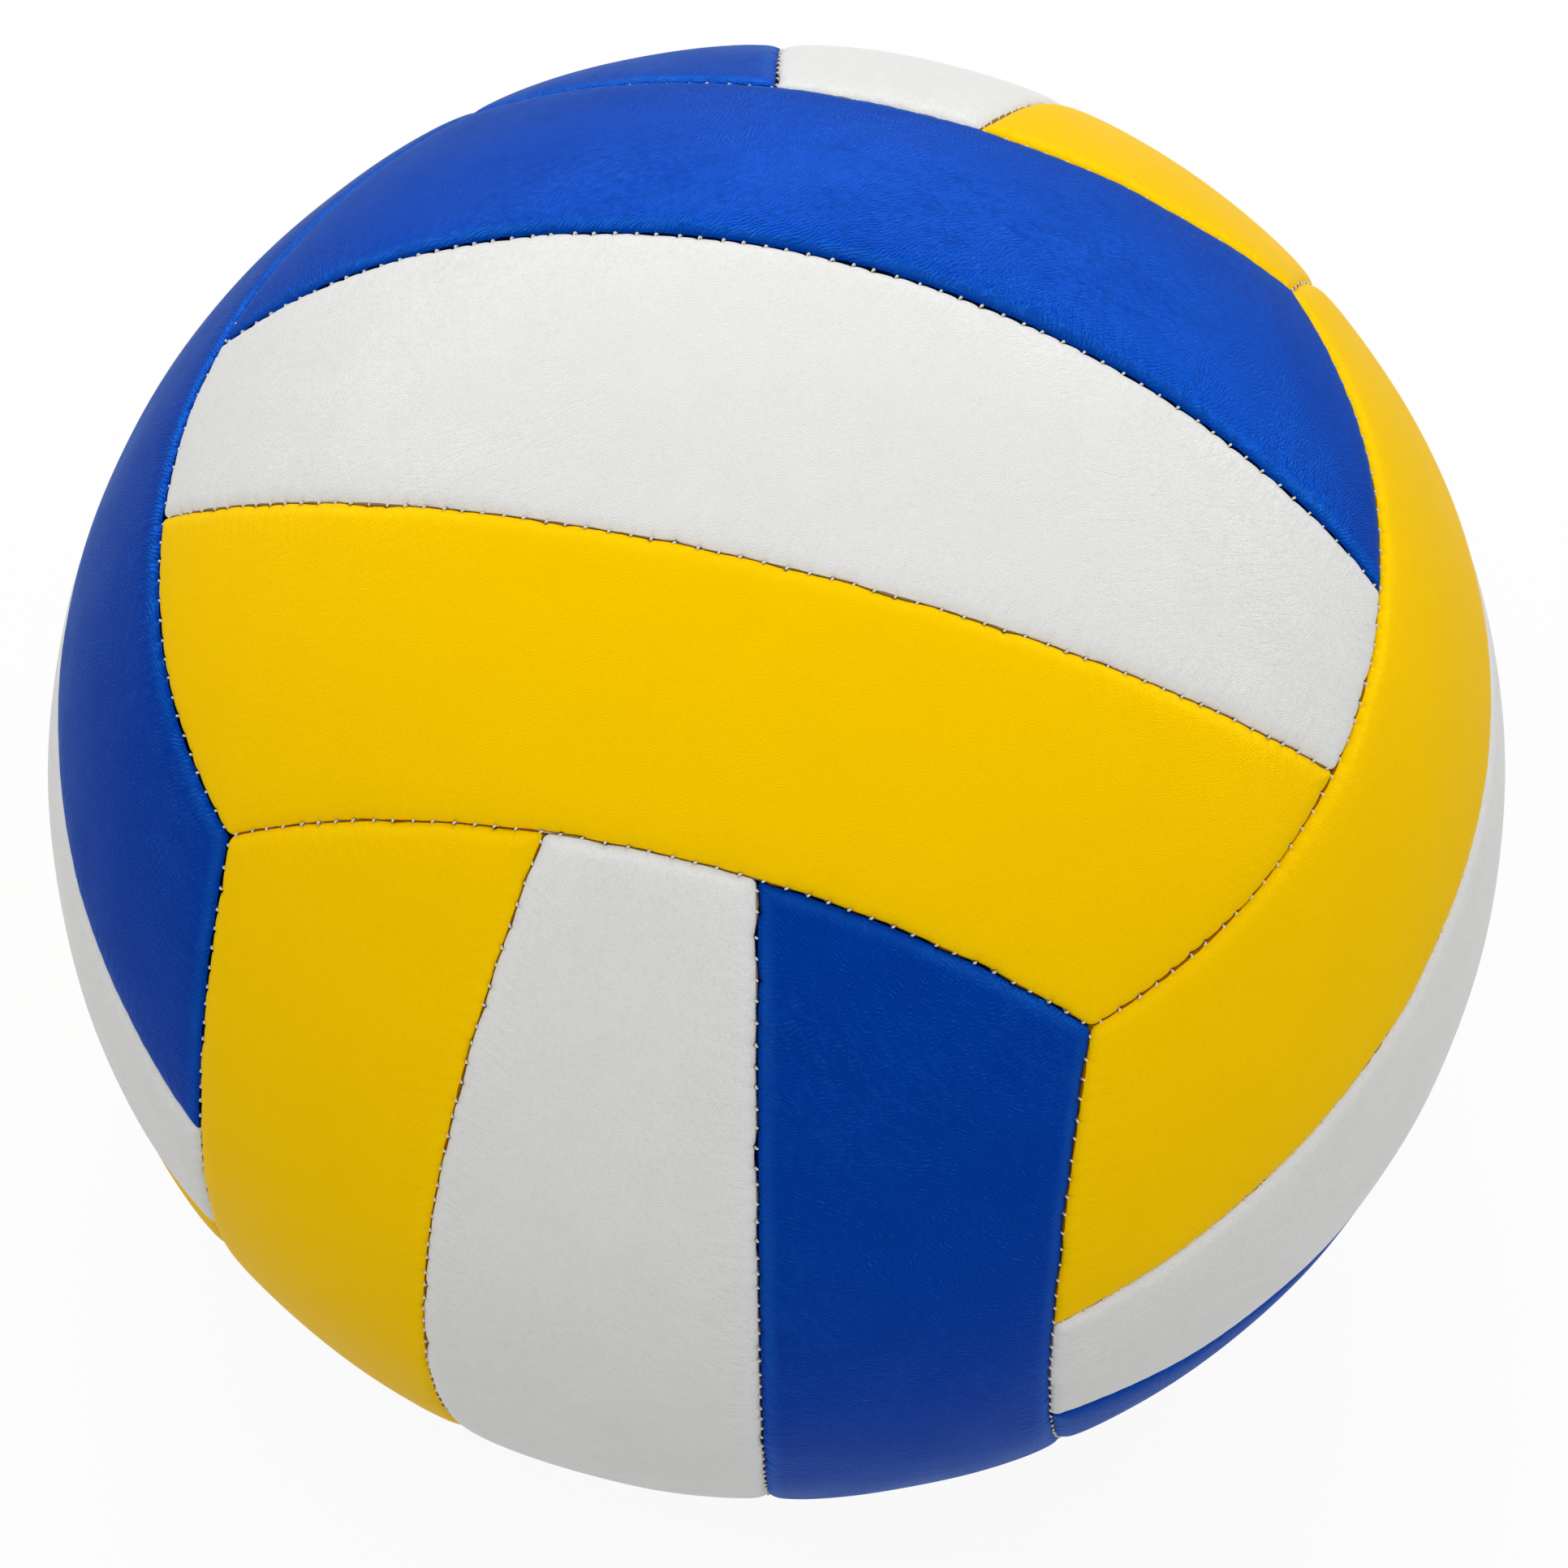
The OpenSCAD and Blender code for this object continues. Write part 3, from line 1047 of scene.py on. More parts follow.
class Graph:
    """Adds and joins the nodes of one material, group or world."""

    def __init__(self, tree: bpy.types.NodeTree) -> None:
        """Starts on a node tree."""
        self.tree = tree

    def put(self, socket: bpy.types.NodeSocket, value: object) -> None:
        """Joins a socket to another one, or sets its value.

        Args:
            socket: The input socket.
            value: An output socket, or a value.
        """
        if isinstance(value, bpy.types.NodeSocket):
            self.tree.links.new(value, socket)
        else:
            socket.default_value = value

    def add(self, kind: str, inputs: dict | None = None, **settings: object) -> bpy.types.Node:
        """Adds a node.

        Args:
            kind: Blender's name of its type.
            inputs: Values or sockets for its inputs, by name or number.
            settings: Its other properties.

        Returns:
            The node.
        """
        node = self.tree.nodes.new(kind)
        for name, value in settings.items():
            setattr(node, name, value)
        for key, value in (inputs or {}).items():
            self.put(node.inputs[key], value)
        return node

    def math(self, operation: str, *values: object, clamp: bool = False) -> bpy.types.NodeSocket:
        """Adds a Math node on up to three values and returns its result."""
        node = self.add("ShaderNodeMath", dict(enumerate(values)), operation=operation, use_clamp=clamp)
        return node.outputs[0]

    def vector(self, operation: str, one: object, other: object) -> bpy.types.NodeSocket:
        """Adds a Vector Math node.

        Args:
            operation: What it does.
            one: The first vector.
            other: The second vector, or the scale.

        Returns:
            Its result.
        """
        key = "Scale" if operation == "SCALE" else 1
        node = self.add("ShaderNodeVectorMath", operation=operation)
        self.put(node.inputs[0], one)
        self.put(node.inputs[key], other)
        return node.outputs[0]

    def attribute(self, name: str) -> bpy.types.NodeSocket:
        """Adds a node that reads a number stored on the piece."""
        node = self.add("ShaderNodeAttribute", attribute_name=name, attribute_type="GEOMETRY")
        return node.outputs["Fac"]

    def noise(
        self, vector: object, scale: object, detail: float = 2.0, rough: float = 0.5
    ) -> bpy.types.Node:
        """Adds a Noise Texture node."""
        inputs = {"Vector": vector, "Scale": scale, "Detail": detail, "Roughness": rough}
        return self.add("ShaderNodeTexNoise", inputs)

    def ramp(
        self, value: object, low: object, high: object, to_low: object = 0.0, to_high: object = 1.0
    ) -> bpy.types.NodeSocket:
        """Adds a smooth Map Range node and returns its result."""
        inputs = {"Value": value, "From Min": low, "From Max": high, "To Min": to_low, "To Max": to_high}
        return self.add("ShaderNodeMapRange", inputs, interpolation_type="SMOOTHSTEP").outputs[0]

    def mix(self, share: object, one: object, other: object, blend: str = "MIX") -> bpy.types.NodeSocket:
        """Adds a colour Mix node.

        Args:
            share: How much of the second colour shows.
            one: The first colour.
            other: The second colour.
            blend: How the two are put together.

        Returns:
            Its result.
        """
        node = self.add("ShaderNodeMix", data_type="RGBA", blend_type=blend)
        self.put(node.inputs[MIX_SHARE], share)
        self.put(node.inputs[MIX_ONE], one)
        self.put(node.inputs[MIX_OTHER], other)
        return node.outputs[MIX_RESULT]


@dataclass
class ShaderGroup:
    """A shared effect: a node group with named inputs and outputs."""

    name: str
    inputs: dict[str, tuple[str, float | None]]
    outputs: dict[str, str]
    tree: bpy.types.NodeTree = field(init=False)
    graph: Graph = field(init=False)
    entry: bpy.types.NodeOutputs = field(init=False)
    exit: bpy.types.NodeInputs = field(init=False)

    def __post_init__(self) -> None:
        """Makes the group's tree, its sockets and its entry and exit."""
        self.tree = bpy.data.node_groups.new(self.name, "ShaderNodeTree")
        for name, (kind, value) in self.inputs.items():
            socket = self.tree.interface.new_socket(name=name, in_out="INPUT", socket_type=kind)
            if value is not None:
                socket.default_value = value
        for name, kind in self.outputs.items():
            self.tree.interface.new_socket(name=name, in_out="OUTPUT", socket_type=kind)
        self.graph = Graph(self.tree)
        self.entry = self.tree.nodes.new("NodeGroupInput").outputs
        self.exit = self.tree.nodes.new("NodeGroupOutput").inputs

    def place(self, graph: Graph, inputs: dict) -> bpy.types.Node:
        """Places the group in a material.

        Args:
            graph: The material's graph.
            inputs: The material's own values or sockets, by name.

        Returns:
            The group's node.
        """
        node = graph.tree.nodes.new("ShaderNodeGroup")
        node.node_tree = self.tree
        for name, value in inputs.items():
            graph.put(node.inputs[name], value)
        return node


FLOAT, VECTOR = "NodeSocketFloat", "NodeSocketVector"


@dataclass(frozen=True)
class LeatherGrain:
    """The relief of soft leather: fine ridges in patches, specks, long creases and mottling.

    Ridges are short bands of an even pitch, whose direction leans between two turns from place
    to place, with a little noise of the same pitch. The surface's own map is first bent by a
    wide drift and a fine waver. Creases are the thin middle lines of a long stretched noise.
    """

    drift_scale: float = 38.0
    drift: float = 0.009
    waver_scale: float = 520.0
    waver: float = 0.0008
    patch_scale: float = 30.0
    lean_from: tuple[float, float] = (0.36, 0.64)
    lean_turns: tuple[float, float] = (math.radians(-62.0), math.radians(4.0))
    bands_in_ridge: float = 0.5
    bands_share: float = 0.7
    ridge_from: tuple[float, float] = (0.26, 0.74)
    speck_scale: float = 4200.0
    crease_turn: float = math.radians(-38.0)
    crease_stretch: tuple[float, float, float] = (0.22, 1.0, 1.0)
    crease_scale: float = 560.0
    crease_w: float = 0.06
    crease_from: tuple[float, float] = (0.46, 0.64)
    heights: tuple[float, float, float] = (0.75, 0.24, 0.6)
    mottle_scale: float = 95.0

    @staticmethod
    def bent(g: Graph, lay: object, noise: bpy.types.Node, reach: float) -> bpy.types.NodeSocket:
        """Moves a map's places by up to half the reach each way, by a noise's colour."""
        shift = g.vector("SUBTRACT", noise.outputs["Color"], (0.5, 0.5, 0.5))
        return g.vector("ADD", lay, g.vector("SCALE", shift, reach))

    def ridges(self, g: Graph, entry: bpy.types.NodeOutputs, lay: object) -> bpy.types.NodeSocket:
        """Builds the ridges.

        Args:
            g: The group's graph.
            entry: The group's inputs.
            lay: The bent map.

        Returns:
            Their height from 0 to 1.
        """
        patches = g.noise(entry["Vector"], self.patch_scale, detail=3.0, rough=0.6).outputs[0]
        lean = g.ramp(patches, *self.lean_from, *self.lean_turns)
        scale = g.math("MULTIPLY", entry["Ridge Scale"], self.bands_in_ridge)
        inputs = {0: lay, 1: scale, 2: 1.0 / self.bands_in_ridge, 3: entry["Even"], 4: lean}
        bands = g.add("ShaderNodeTexGabor", inputs, gabor_type="2D").outputs[0]
        grain = g.noise(lay, entry["Ridge Scale"], detail=1.4, rough=0.45).outputs[0]
        bands = g.math("MULTIPLY", bands, self.bands_share)
        grain = g.math("MULTIPLY", grain, 1.0 - self.bands_share)
        return g.ramp(g.math("ADD", bands, grain), *self.ridge_from)

    def creases(self, g: Graph, entry: bpy.types.NodeOutputs, lay: object) -> bpy.types.NodeSocket:
        """Builds the creases.

        Args:
            g: The group's graph.
            entry: The group's inputs.
            lay: The bent map.

        Returns:
            Their share from 0 to 1.
        """
        turn = {"Vector": lay, "Angle": self.crease_turn}
        slant = g.add("ShaderNodeVectorRotate", turn, rotation_type="Z_AXIS").outputs[0]
        slant = g.vector("MULTIPLY", slant, self.crease_stretch)
        line = g.math("SUBTRACT", g.noise(slant, self.crease_scale).outputs[0], 0.5)
        line = g.ramp(g.math("ABSOLUTE", line), 0.0, self.crease_w, 1.0, 0.0)
        patches = g.ramp(g.noise(entry["Vector"], self.patch_scale).outputs[0], *self.crease_from)
        return g.math("MULTIPLY", g.math("MULTIPLY", line, patches), entry["Crease"])

    def build(self) -> ShaderGroup:
        """Builds the effect.

        Returns:
            The group, with the ridge scale, their evenness and the creases' share as inputs.
        """
        inputs = {
            "Vector": (VECTOR, None),
            "Lay": (VECTOR, None),
            "Ridge Scale": (FLOAT, 1900.0),
            "Even": (FLOAT, 0.5),
            "Crease": (FLOAT, 0.5),
        }
        outputs = {"Height": FLOAT, "Ridges": FLOAT, "Crease": FLOAT, "Mottle": FLOAT}
        group = ShaderGroup("leather_grain", inputs, outputs)
        g, entry = group.graph, group.entry
        drift = g.noise(entry["Lay"], self.drift_scale)
        waver = g.noise(entry["Lay"], self.waver_scale, detail=1.0)
        lay = self.bent(g, self.bent(g, entry["Lay"], drift, self.drift), waver, self.waver)
        ridge, crease = self.ridges(g, entry, lay), self.creases(g, entry, lay)
        specks = g.noise(entry["Vector"], self.speck_scale, rough=0.6).outputs[0]
        ridge_h, speck_h, crease_h = self.heights
        height = g.math("ADD", g.math("MULTIPLY", ridge, ridge_h), g.math("MULTIPLY", specks, speck_h))
        height = g.math("SUBTRACT", height, g.math("MULTIPLY", crease, crease_h))
        mottle = g.noise(entry["Vector"], self.mottle_scale, detail=4.0, rough=0.62).outputs[0]
        for name, value in (("Height", height), ("Ridges", ridge), ("Crease", crease), ("Mottle", mottle)):
            g.put(group.exit[name], value)
        return group


@dataclass(frozen=True)
class SeamShade:
    """Painted shade in the groove, a faint painted highlight and stretch wrinkles along a panel's edge.

    The wrinkles are a noise that is fine along the seam and slow away from it, and slants a
    little. Lengths are in millimetres, as in the panel's attributes.
    """

    uneven_scale: float = 420.0
    uneven: float = 0.22
    groove_start: float = 0.4
    edge_highlight_rise: tuple[float, float] = (0.4, 1.0)
    edge_highlight_fall: tuple[float, float] = (1.2, 3.0)
    edge_highlight_scale: float = 90.0
    slant: float = 0.25
    slow: float = 0.22
    ripple_scale: float = 0.8
    ripple_from: tuple[float, float] = (0.3, 0.72)

    def build(self) -> ShaderGroup:
        """Builds the effect.

        Returns:
            The group, with the panel's attributes and the groove's width as inputs.
        """
        inputs = {
            "Aside": (FLOAT, 5.0),
            "Run": (FLOAT, 0.0),
            "Crimp": (FLOAT, 0.0),
            "Groove Width": (FLOAT, 0.25),
            "Vector": (VECTOR, None),
        }
        group = ShaderGroup("seam_shade", inputs, {"Groove": FLOAT, "Rub": FLOAT, "Wrinkle": FLOAT})
        g, entry = group.graph, group.entry
        uneven = g.noise(entry["Vector"], self.uneven_scale, detail=3.0).outputs[0]
        uneven = g.math("MULTIPLY", g.math("SUBTRACT", uneven, 0.5), self.uneven)
        place = g.math("ADD", entry["Aside"], uneven)
        start = g.math("MULTIPLY", entry["Groove Width"], self.groove_start)
        # The groove mask marks where painted shade darkens the skin at the seam's gap.
        g.put(group.exit["Groove"], g.ramp(place, start, entry["Groove Width"], 1.0, 0.0))
        # A painted highlight, lighter in patches a little way from the seam on the rolled edge.
        edge_highlight = g.math("MULTIPLY", g.ramp(place, *self.edge_highlight_rise), g.ramp(place, *self.edge_highlight_fall, 1.0, 0.0))
        patches = g.noise(entry["Vector"], self.edge_highlight_scale, detail=3.0).outputs[0]
        g.put(group.exit["Rub"], g.math("MULTIPLY", edge_highlight, patches))
        along = g.math("MULTIPLY_ADD", entry["Aside"], self.slant, entry["Run"])
        away = g.math("MULTIPLY", entry["Aside"], self.slow)
        flow = g.add("ShaderNodeCombineXYZ", {0: along, 1: away}).outputs[0]
        ripple = g.ramp(g.noise(flow, self.ripple_scale).outputs[0], *self.ripple_from)
        g.put(group.exit["Wrinkle"], g.math("MULTIPLY", ripple, entry["Crimp"]))
        return group


@dataclass(frozen=True)
class RubberBloom:
    """The powdery bloom and fine moulded specks of rubber and foam."""

    speck_scale: float = 900.0
    speck_share: float = 0.5
    bloom_scale: float = 60.0
    bloom_from: tuple[float, float] = (0.42, 0.7)

    def build(self) -> ShaderGroup:
        """Builds the effect.

        Returns:
            The group, with the cells' scale as an input.
        """
        inputs = {"Vector": (VECTOR, None), "Scale": (FLOAT, 1500.0)}
        group = ShaderGroup("rubber_bloom", inputs, {"Height": FLOAT, "Bloom": FLOAT})
        g, entry = group.graph, group.entry
        specks = g.noise(entry["Vector"], self.speck_scale, detail=4.0, rough=0.65).outputs[0]
        cells = g.add("ShaderNodeTexVoronoi", {"Vector": entry["Vector"], "Scale": entry["Scale"]})
        height = g.math("ADD", g.math("MULTIPLY", specks, self.speck_share), cells.outputs["Distance"])
        g.put(group.exit["Height"], height)
        patches = g.noise(entry["Vector"], self.bloom_scale, detail=5.0, rough=0.65).outputs[0]
        g.put(group.exit["Bloom"], g.ramp(patches, *self.bloom_from))
        return group


@dataclass
class EffectSet:
    """The shared effects, each built once."""

    grain: ShaderGroup = field(default_factory=lambda: LeatherGrain().build())
    seam: ShaderGroup = field(default_factory=lambda: SeamShade().build())
    bloom: ShaderGroup = field(default_factory=lambda: RubberBloom().build())


def new_material(name: str) -> tuple[bpy.types.Material, Graph, bpy.types.Node, bpy.types.NodeSocket]:
    """Makes a material with a Principled shader.

    Args:
        name: The material's name.

    Returns:
        The material, its graph, the shader and the Object coordinates.
    """
    material = bpy.data.materials.new(name)
    material.use_nodes = True
    material.node_tree.nodes.clear()
    graph = Graph(material.node_tree)
    shader = graph.add("ShaderNodeBsdfPrincipled")
    graph.add("ShaderNodeOutputMaterial", {"Surface": shader.outputs[0]})
    return material, graph, shader, graph.add("ShaderNodeTexCoord").outputs["Object"]


@dataclass(frozen=True)
class LeatherFinish:
    """Coated artificial leather of one colour.

    The colour grows deeper in mottled patches. Painted shade deepens it between the ridges and in
    the seam's groove, and painted highlights lighten it on creases, rolled edges and ridges' tops.
    """

    name: str
    colour: tuple[float, float, float]
    # deep is the colour of the mottled patches and of the painted shade between the ridges.
    deep: tuple[float, float, float]
    # light is the colour of the painted highlights.
    light: tuple[float, float, float]
    # groove is the colour of the painted shade in the seam's gap.
    groove: tuple[float, float, float]
    groove_w: float = 0.22
    roughness: float = 0.42
    specular: float = 0.02
    metallic: float = 0.0
    tint: tuple[float, float, float] = (255, 255, 255)
    ridge_scale: float = 2100.0
    even: float = 0.35
    crease: float = 0.5
    # glint is the share of painted highlight on the ridges' tops.
    glint: float = 0.0
    relief: float = 0.0001
    strength: float = 0.7
    wrinkle: float = 1.0
    valley_shade_share: float = 0.5
    mottle_from: tuple[float, float] = (0.35, 0.7)
    mottle_share: float = 0.2
    crease_highlight_share: float = 0.12
    edge_highlight_share: float = 0.3
    tops_from: tuple[float, float] = (0.75, 1.0)
    patches_from: tuple[float, float] = (0.3, 0.75)
    smoother: float = 0.02
    rougher: float = 0.03
    groove_rough: float = 0.4

    def material(self, effects: EffectSet) -> bpy.types.Material:
        """Builds the finish: grain and creases in colour, roughness and bump, and painted shade and
        highlights.

        Args:
            effects: The shared effects.

        Returns:
            The material.
        """
        material, g, shader, place = new_material(self.name)
        lay = g.add("ShaderNodeUVMap", uv_map="lay").outputs[0]
        beside = {name.capitalize(): g.attribute(name) for name in ("aside", "run", "crimp")}
        inputs = {
            "Vector": place,
            "Lay": lay,
            "Ridge Scale": self.ridge_scale,
            "Even": self.even,
            "Crease": self.crease,
        }
        grain = effects.grain.place(g, inputs)
        seam = effects.seam.place(g, {**beside, "Groove Width": self.groove_w, "Vector": place})
        ridges, mottle, light = grain.outputs["Ridges"], grain.outputs["Mottle"], linear(self.light)
        # Painted shade: the colour deepens between the ridges.
        low = g.math("MULTIPLY", g.math("SUBTRACT", 1.0, ridges), self.valley_shade_share)
        base = g.mix(low, linear(self.colour), linear(self.deep))
        patches = g.ramp(mottle, *self.mottle_from, 0.0, self.mottle_share)
        base = g.mix(patches, base, linear(self.deep))
        # Painted highlight: the creases are lighter.
        base = g.mix(g.math("MULTIPLY", grain.outputs["Crease"], self.crease_highlight_share), base, light)
        # Painted highlight on the rolled edges beside the seams.
        base = g.mix(g.math("MULTIPLY", seam.outputs["Rub"], self.edge_highlight_share), base, light)
        # Painted highlight on the ridges' tops, the glint.
        tops = g.ramp(ridges, *self.tops_from)
        base = g.mix(g.math("MULTIPLY", tops, self.glint), base, light)
        # Painted shade: the groove colour darkens the skin where it turns down into the seam.
        base = g.mix(seam.outputs["Groove"], base, linear(self.groove))
        g.put(shader.inputs["Base Color"], base)
        low, high = self.roughness - self.smoother, self.roughness + self.rougher
        uneven = g.ramp(mottle, *self.patches_from, low, high)
        groove = g.math("MULTIPLY", seam.outputs["Groove"], self.groove_rough)
        g.put(shader.inputs["Roughness"], g.math("ADD", uneven, groove))
        shader.inputs["Specular IOR Level"].default_value = self.specular
        shader.inputs["Specular Tint"].default_value = linear(self.tint)
        shader.inputs["Metallic"].default_value = self.metallic
        wrinkle = g.math("MULTIPLY", seam.outputs["Wrinkle"], self.wrinkle)
        inputs = {
            "Height": g.math("ADD", grain.outputs["Height"], wrinkle),
            "Strength": self.strength,
            "Distance": self.relief,
        }
        g.put(shader.inputs["Normal"], g.add("ShaderNodeBump", inputs).outputs[0])
        return material


@dataclass(frozen=True)
class RubberFinish:
    """Moulded rubber or foam with a faint bloom, which is rougher where it is thick."""

    name: str
    colour: tuple[float, float, float]
    bloom: tuple[float, float, float]
    roughness: float = 0.6
    cell_scale: float = 1500.0
    bump_h: float = 0.00005
    bump_strength: float = 0.5
    specular: float = 0.35
    bloom_share: float = 0.55
    bloom_rough: float = 0.2

    def material(self, effects: EffectSet) -> bpy.types.Material:
        """Builds the finish: bloom in patches over moulded specks.

        Args:
            effects: The shared effects.

        Returns:
            The material.
        """
        material, g, shader, place = new_material(self.name)
        bloom = effects.bloom.place(g, {"Vector": place, "Scale": self.cell_scale})
        share = g.math("MULTIPLY", bloom.outputs["Bloom"], self.bloom_share)
        g.put(shader.inputs["Base Color"], g.mix(share, linear(self.colour), linear(self.bloom)))
        most = self.roughness + self.bloom_rough
        g.put(shader.inputs["Roughness"], g.ramp(bloom.outputs["Bloom"], 0.0, 1.0, self.roughness, most))
        shader.inputs["Specular IOR Level"].default_value = self.specular
        height = bloom.outputs["Height"]
        inputs = {"Height": height, "Strength": self.bump_strength, "Distance": self.bump_h}
        g.put(shader.inputs["Normal"], g.add("ShaderNodeBump", inputs).outputs[0])
        return material


@dataclass(frozen=True)
class ClothFinish:
    """Plain woven cloth or spun thread: crossed ribs with a fine fuzz over them."""

    name: str
    colour: tuple[float, float, float]
    shade: tuple[float, float, float]
    thread_scale: float = 900.0
    roughness: float = 0.75
    sheen: float = 0.15
    specular: float = 0.25
    ribs_bend: float = 1.2
    ribs_share: float = 0.7
    fuzz_scale: float = 2600.0
    fuzz_share: float = 0.4
    fuzz_from: tuple[float, float] = (0.2, 0.8)
    colour_from: tuple[float, float] = (0.25, 0.9)
    smoother: float = 0.08
    rougher: float = 0.1
    bump_h: float = 0.00006
    bump_strength: float = 0.5

    def material(self, effects: EffectSet) -> bpy.types.Material:
        """Builds the finish: crossed ribs of thread in colour and bump.

        Args:
            effects: The shared effects, of which it needs none.

        Returns:
            The material.
        """
        material, g, shader, place = new_material(self.name)
        inputs = {"Vector": place, "Scale": self.thread_scale, "Distortion": self.ribs_bend}
        ribs = [g.add("ShaderNodeTexWave", inputs, bands_direction=axis).outputs[1] for axis in "XYZ"]
        weave = g.math("MAXIMUM", g.math("MAXIMUM", ribs[0], ribs[1]), ribs[2])
        weave = g.math("MULTIPLY", weave, self.ribs_share)
        fuzz = g.noise(place, self.fuzz_scale, detail=3.0, rough=0.6).outputs[0]
        height = g.math("ADD", weave, g.math("MULTIPLY", fuzz, self.fuzz_share))
        colour = g.mix(g.ramp(height, *self.colour_from), linear(self.shade), linear(self.colour))
        g.put(shader.inputs["Base Color"], colour)
        low, high = self.roughness - self.smoother, self.roughness + self.rougher
        g.put(shader.inputs["Roughness"], g.ramp(fuzz, *self.fuzz_from, low, high))
        shader.inputs["Sheen Weight"].default_value = self.sheen
        shader.inputs["Specular IOR Level"].default_value = self.specular
        inputs = {"Height": height, "Strength": self.bump_strength, "Distance": self.bump_h}
        g.put(shader.inputs["Normal"], g.add("ShaderNodeBump", inputs).outputs[0])
        return material


@dataclass
class Core:
    """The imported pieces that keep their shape: foam, linings, bladder and valve."""

    nodes: dict[str, bpy.types.Object]
    finishes: dict[str, RubberFinish | ClothFinish]

    def dress(self, effects: EffectSet) -> int:
        """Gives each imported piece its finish.

        Args:
            effects: The shared effects.

        Returns:
            How many pieces were dressed.
        """
        count = 0
        for ending, finish in self.finishes.items():
            material = finish.material(effects)
            for name, node in self.nodes.items():
                if name.endswith(ending):
                    for slot in node.material_slots:
                        slot.material = material
                    count += 1
        return count


@dataclass
class Studio:
    """The pale floor, the soft light and the camera of the photograph.

    The camera looks at the ball's middle from an azimuth and an elevation, turned by roll, and
    centre is where that middle is in a picture of that many pixels. The sheen lamps stand in a
    row behind the ball and light gloss only.
    """

    ball_r: float = 0.105
    azimuth: float = math.radians(16.1)
    elevation: float = math.radians(60.8)
    roll: float = math.radians(-1.8)
    distance: float = 1.166
    lens: float = 184.9
    sensor_w: float = 36.0
    clips: tuple[float, float] = (0.05, 50.0)
    picture: float = 1932.0
    centre: tuple[float, float] = (957.0, 951.0)
    sky: float = 0.82
    key_from: tuple[float, float, float] = (-0.16, 0.7, 0.69)
    key_size: tuple[float, float] = (0.9, 0.36)
    key_power: float = 6.5
    fill_from: tuple[float, float, float] = (0.75, -0.35, 0.55)
    fill_size: tuple[float, float] = (1.6, 1.6)
    fill_power: float = 2.3
    side_from: tuple[float, float, float] = (-0.9, -0.25, 0.35)
    side_power: float = 1.3
    sheen_turns: tuple[float, ...] = (-46.0, 2.0, 50.0)
    sheen_rise: float = 0.25
    sheen_size: tuple[float, float] = (1.5, 0.55)
    sheen_power: float = 19.0
    sheen_colour: tuple[float, float, float] = (1.0, 1.0, 0.8)
    lamp_distance: float = 1.7
    floor_size: float = 14.0
    floor_points: int = 9
    floor_patch_scale: float = 3.0
    floor_patch_from: tuple[float, float] = (0.2, 0.8)
    floor_colour: float = 0.38
    floor_spread: float = 0.01
    floor_rough: float = 0.9
    floor_glow: float = 0.9
    floor_fade: float = 0.74

    def camera(self) -> None:
        """Places the camera so that the ball's middle is at its place in the photograph."""
        away = Vector(
            (
                math.sin(self.azimuth) * math.cos(self.elevation),
                -math.cos(self.azimuth) * math.cos(self.elevation),
                math.sin(self.elevation),
            )
        )
        level = Vector((math.cos(self.azimuth), math.sin(self.azimuth), 0.0))
        upright = away.cross(level)
        right = math.cos(self.roll) * level + math.sin(self.roll) * upright
        up = away.cross(right)
        data = bpy.data.cameras.new("camera")
        data.lens, data.sensor_width, data.sensor_fit = self.lens, self.sensor_w, "HORIZONTAL"
        data.clip_start, data.clip_end = self.clips
        camera = bpy.data.objects.new("camera", data)
        bpy.context.scene.collection.objects.link(camera)
        per_pixel = self.distance * self.sensor_w / self.lens / self.picture
        across = (self.picture / 2.0 - self.centre[0]) * per_pixel
        upward = (self.centre[1] - self.picture / 2.0) * per_pixel
        place = away * self.distance + right * across + up * upward
        turn = Matrix((right, up, away)).transposed().to_4x4()
        camera.matrix_world = Matrix.Translation(place) @ turn
        bpy.context.scene.camera = camera

    def lamp(
        self, name: str, towards: Sequence[float], size: Sequence[float], power: float
    ) -> bpy.types.Object:
        """Hangs a soft lamp that looks at the ball.

        Args:
            name: The lamp's name.
            towards: Where it hangs, as a direction from the ball.
            size: Its width and height.
            power: Its power in watts.

        Returns:
            The lamp.
        """
        data = bpy.data.lights.new(name, "AREA")
        data.shape, data.size, data.size_y, data.energy = "RECTANGLE", size[0], size[1], power
        lamp = bpy.data.objects.new(name, data)
        bpy.context.scene.collection.objects.link(lamp)
        lamp.location = Vector(towards).normalized() * self.lamp_distance
        lamp.rotation_mode = "QUATERNION"
        lamp.rotation_quaternion = Vector(towards).to_track_quat("Z", "Y")
        return lamp

    @staticmethod
    def seen(g: Graph) -> bpy.types.NodeSocket:
        """Tells the rays that see the background, those of the camera, glass and gloss.

        Args:
            g: The graph of the world or of the floor's material.

        Returns:
            1 for such a ray and 0 for another.
        """
        rays = g.add("ShaderNodeLightPath").outputs
        seen = g.math("MAXIMUM", rays["Is Camera Ray"], rays["Is Transmission Ray"])
        return g.math("MAXIMUM", seen, rays["Is Glossy Ray"])

    def world(self) -> None:
        """Makes an even pale sky that the camera and glossy rays see as white."""
        world = bpy.data.worlds.new("studio")
        world.use_nodes = True
        world.node_tree.nodes.clear()
        bpy.context.scene.world = world
        g = Graph(world.node_tree)
        strength = g.math("MULTIPLY_ADD", self.seen(g), 1.0 - self.sky, self.sky)
        sky = g.add("ShaderNodeBackground", {"Color": (1.0, 1.0, 1.0, 1.0), "Strength": strength})
        g.add("ShaderNodeOutputWorld", {"Surface": sky.outputs[0]})

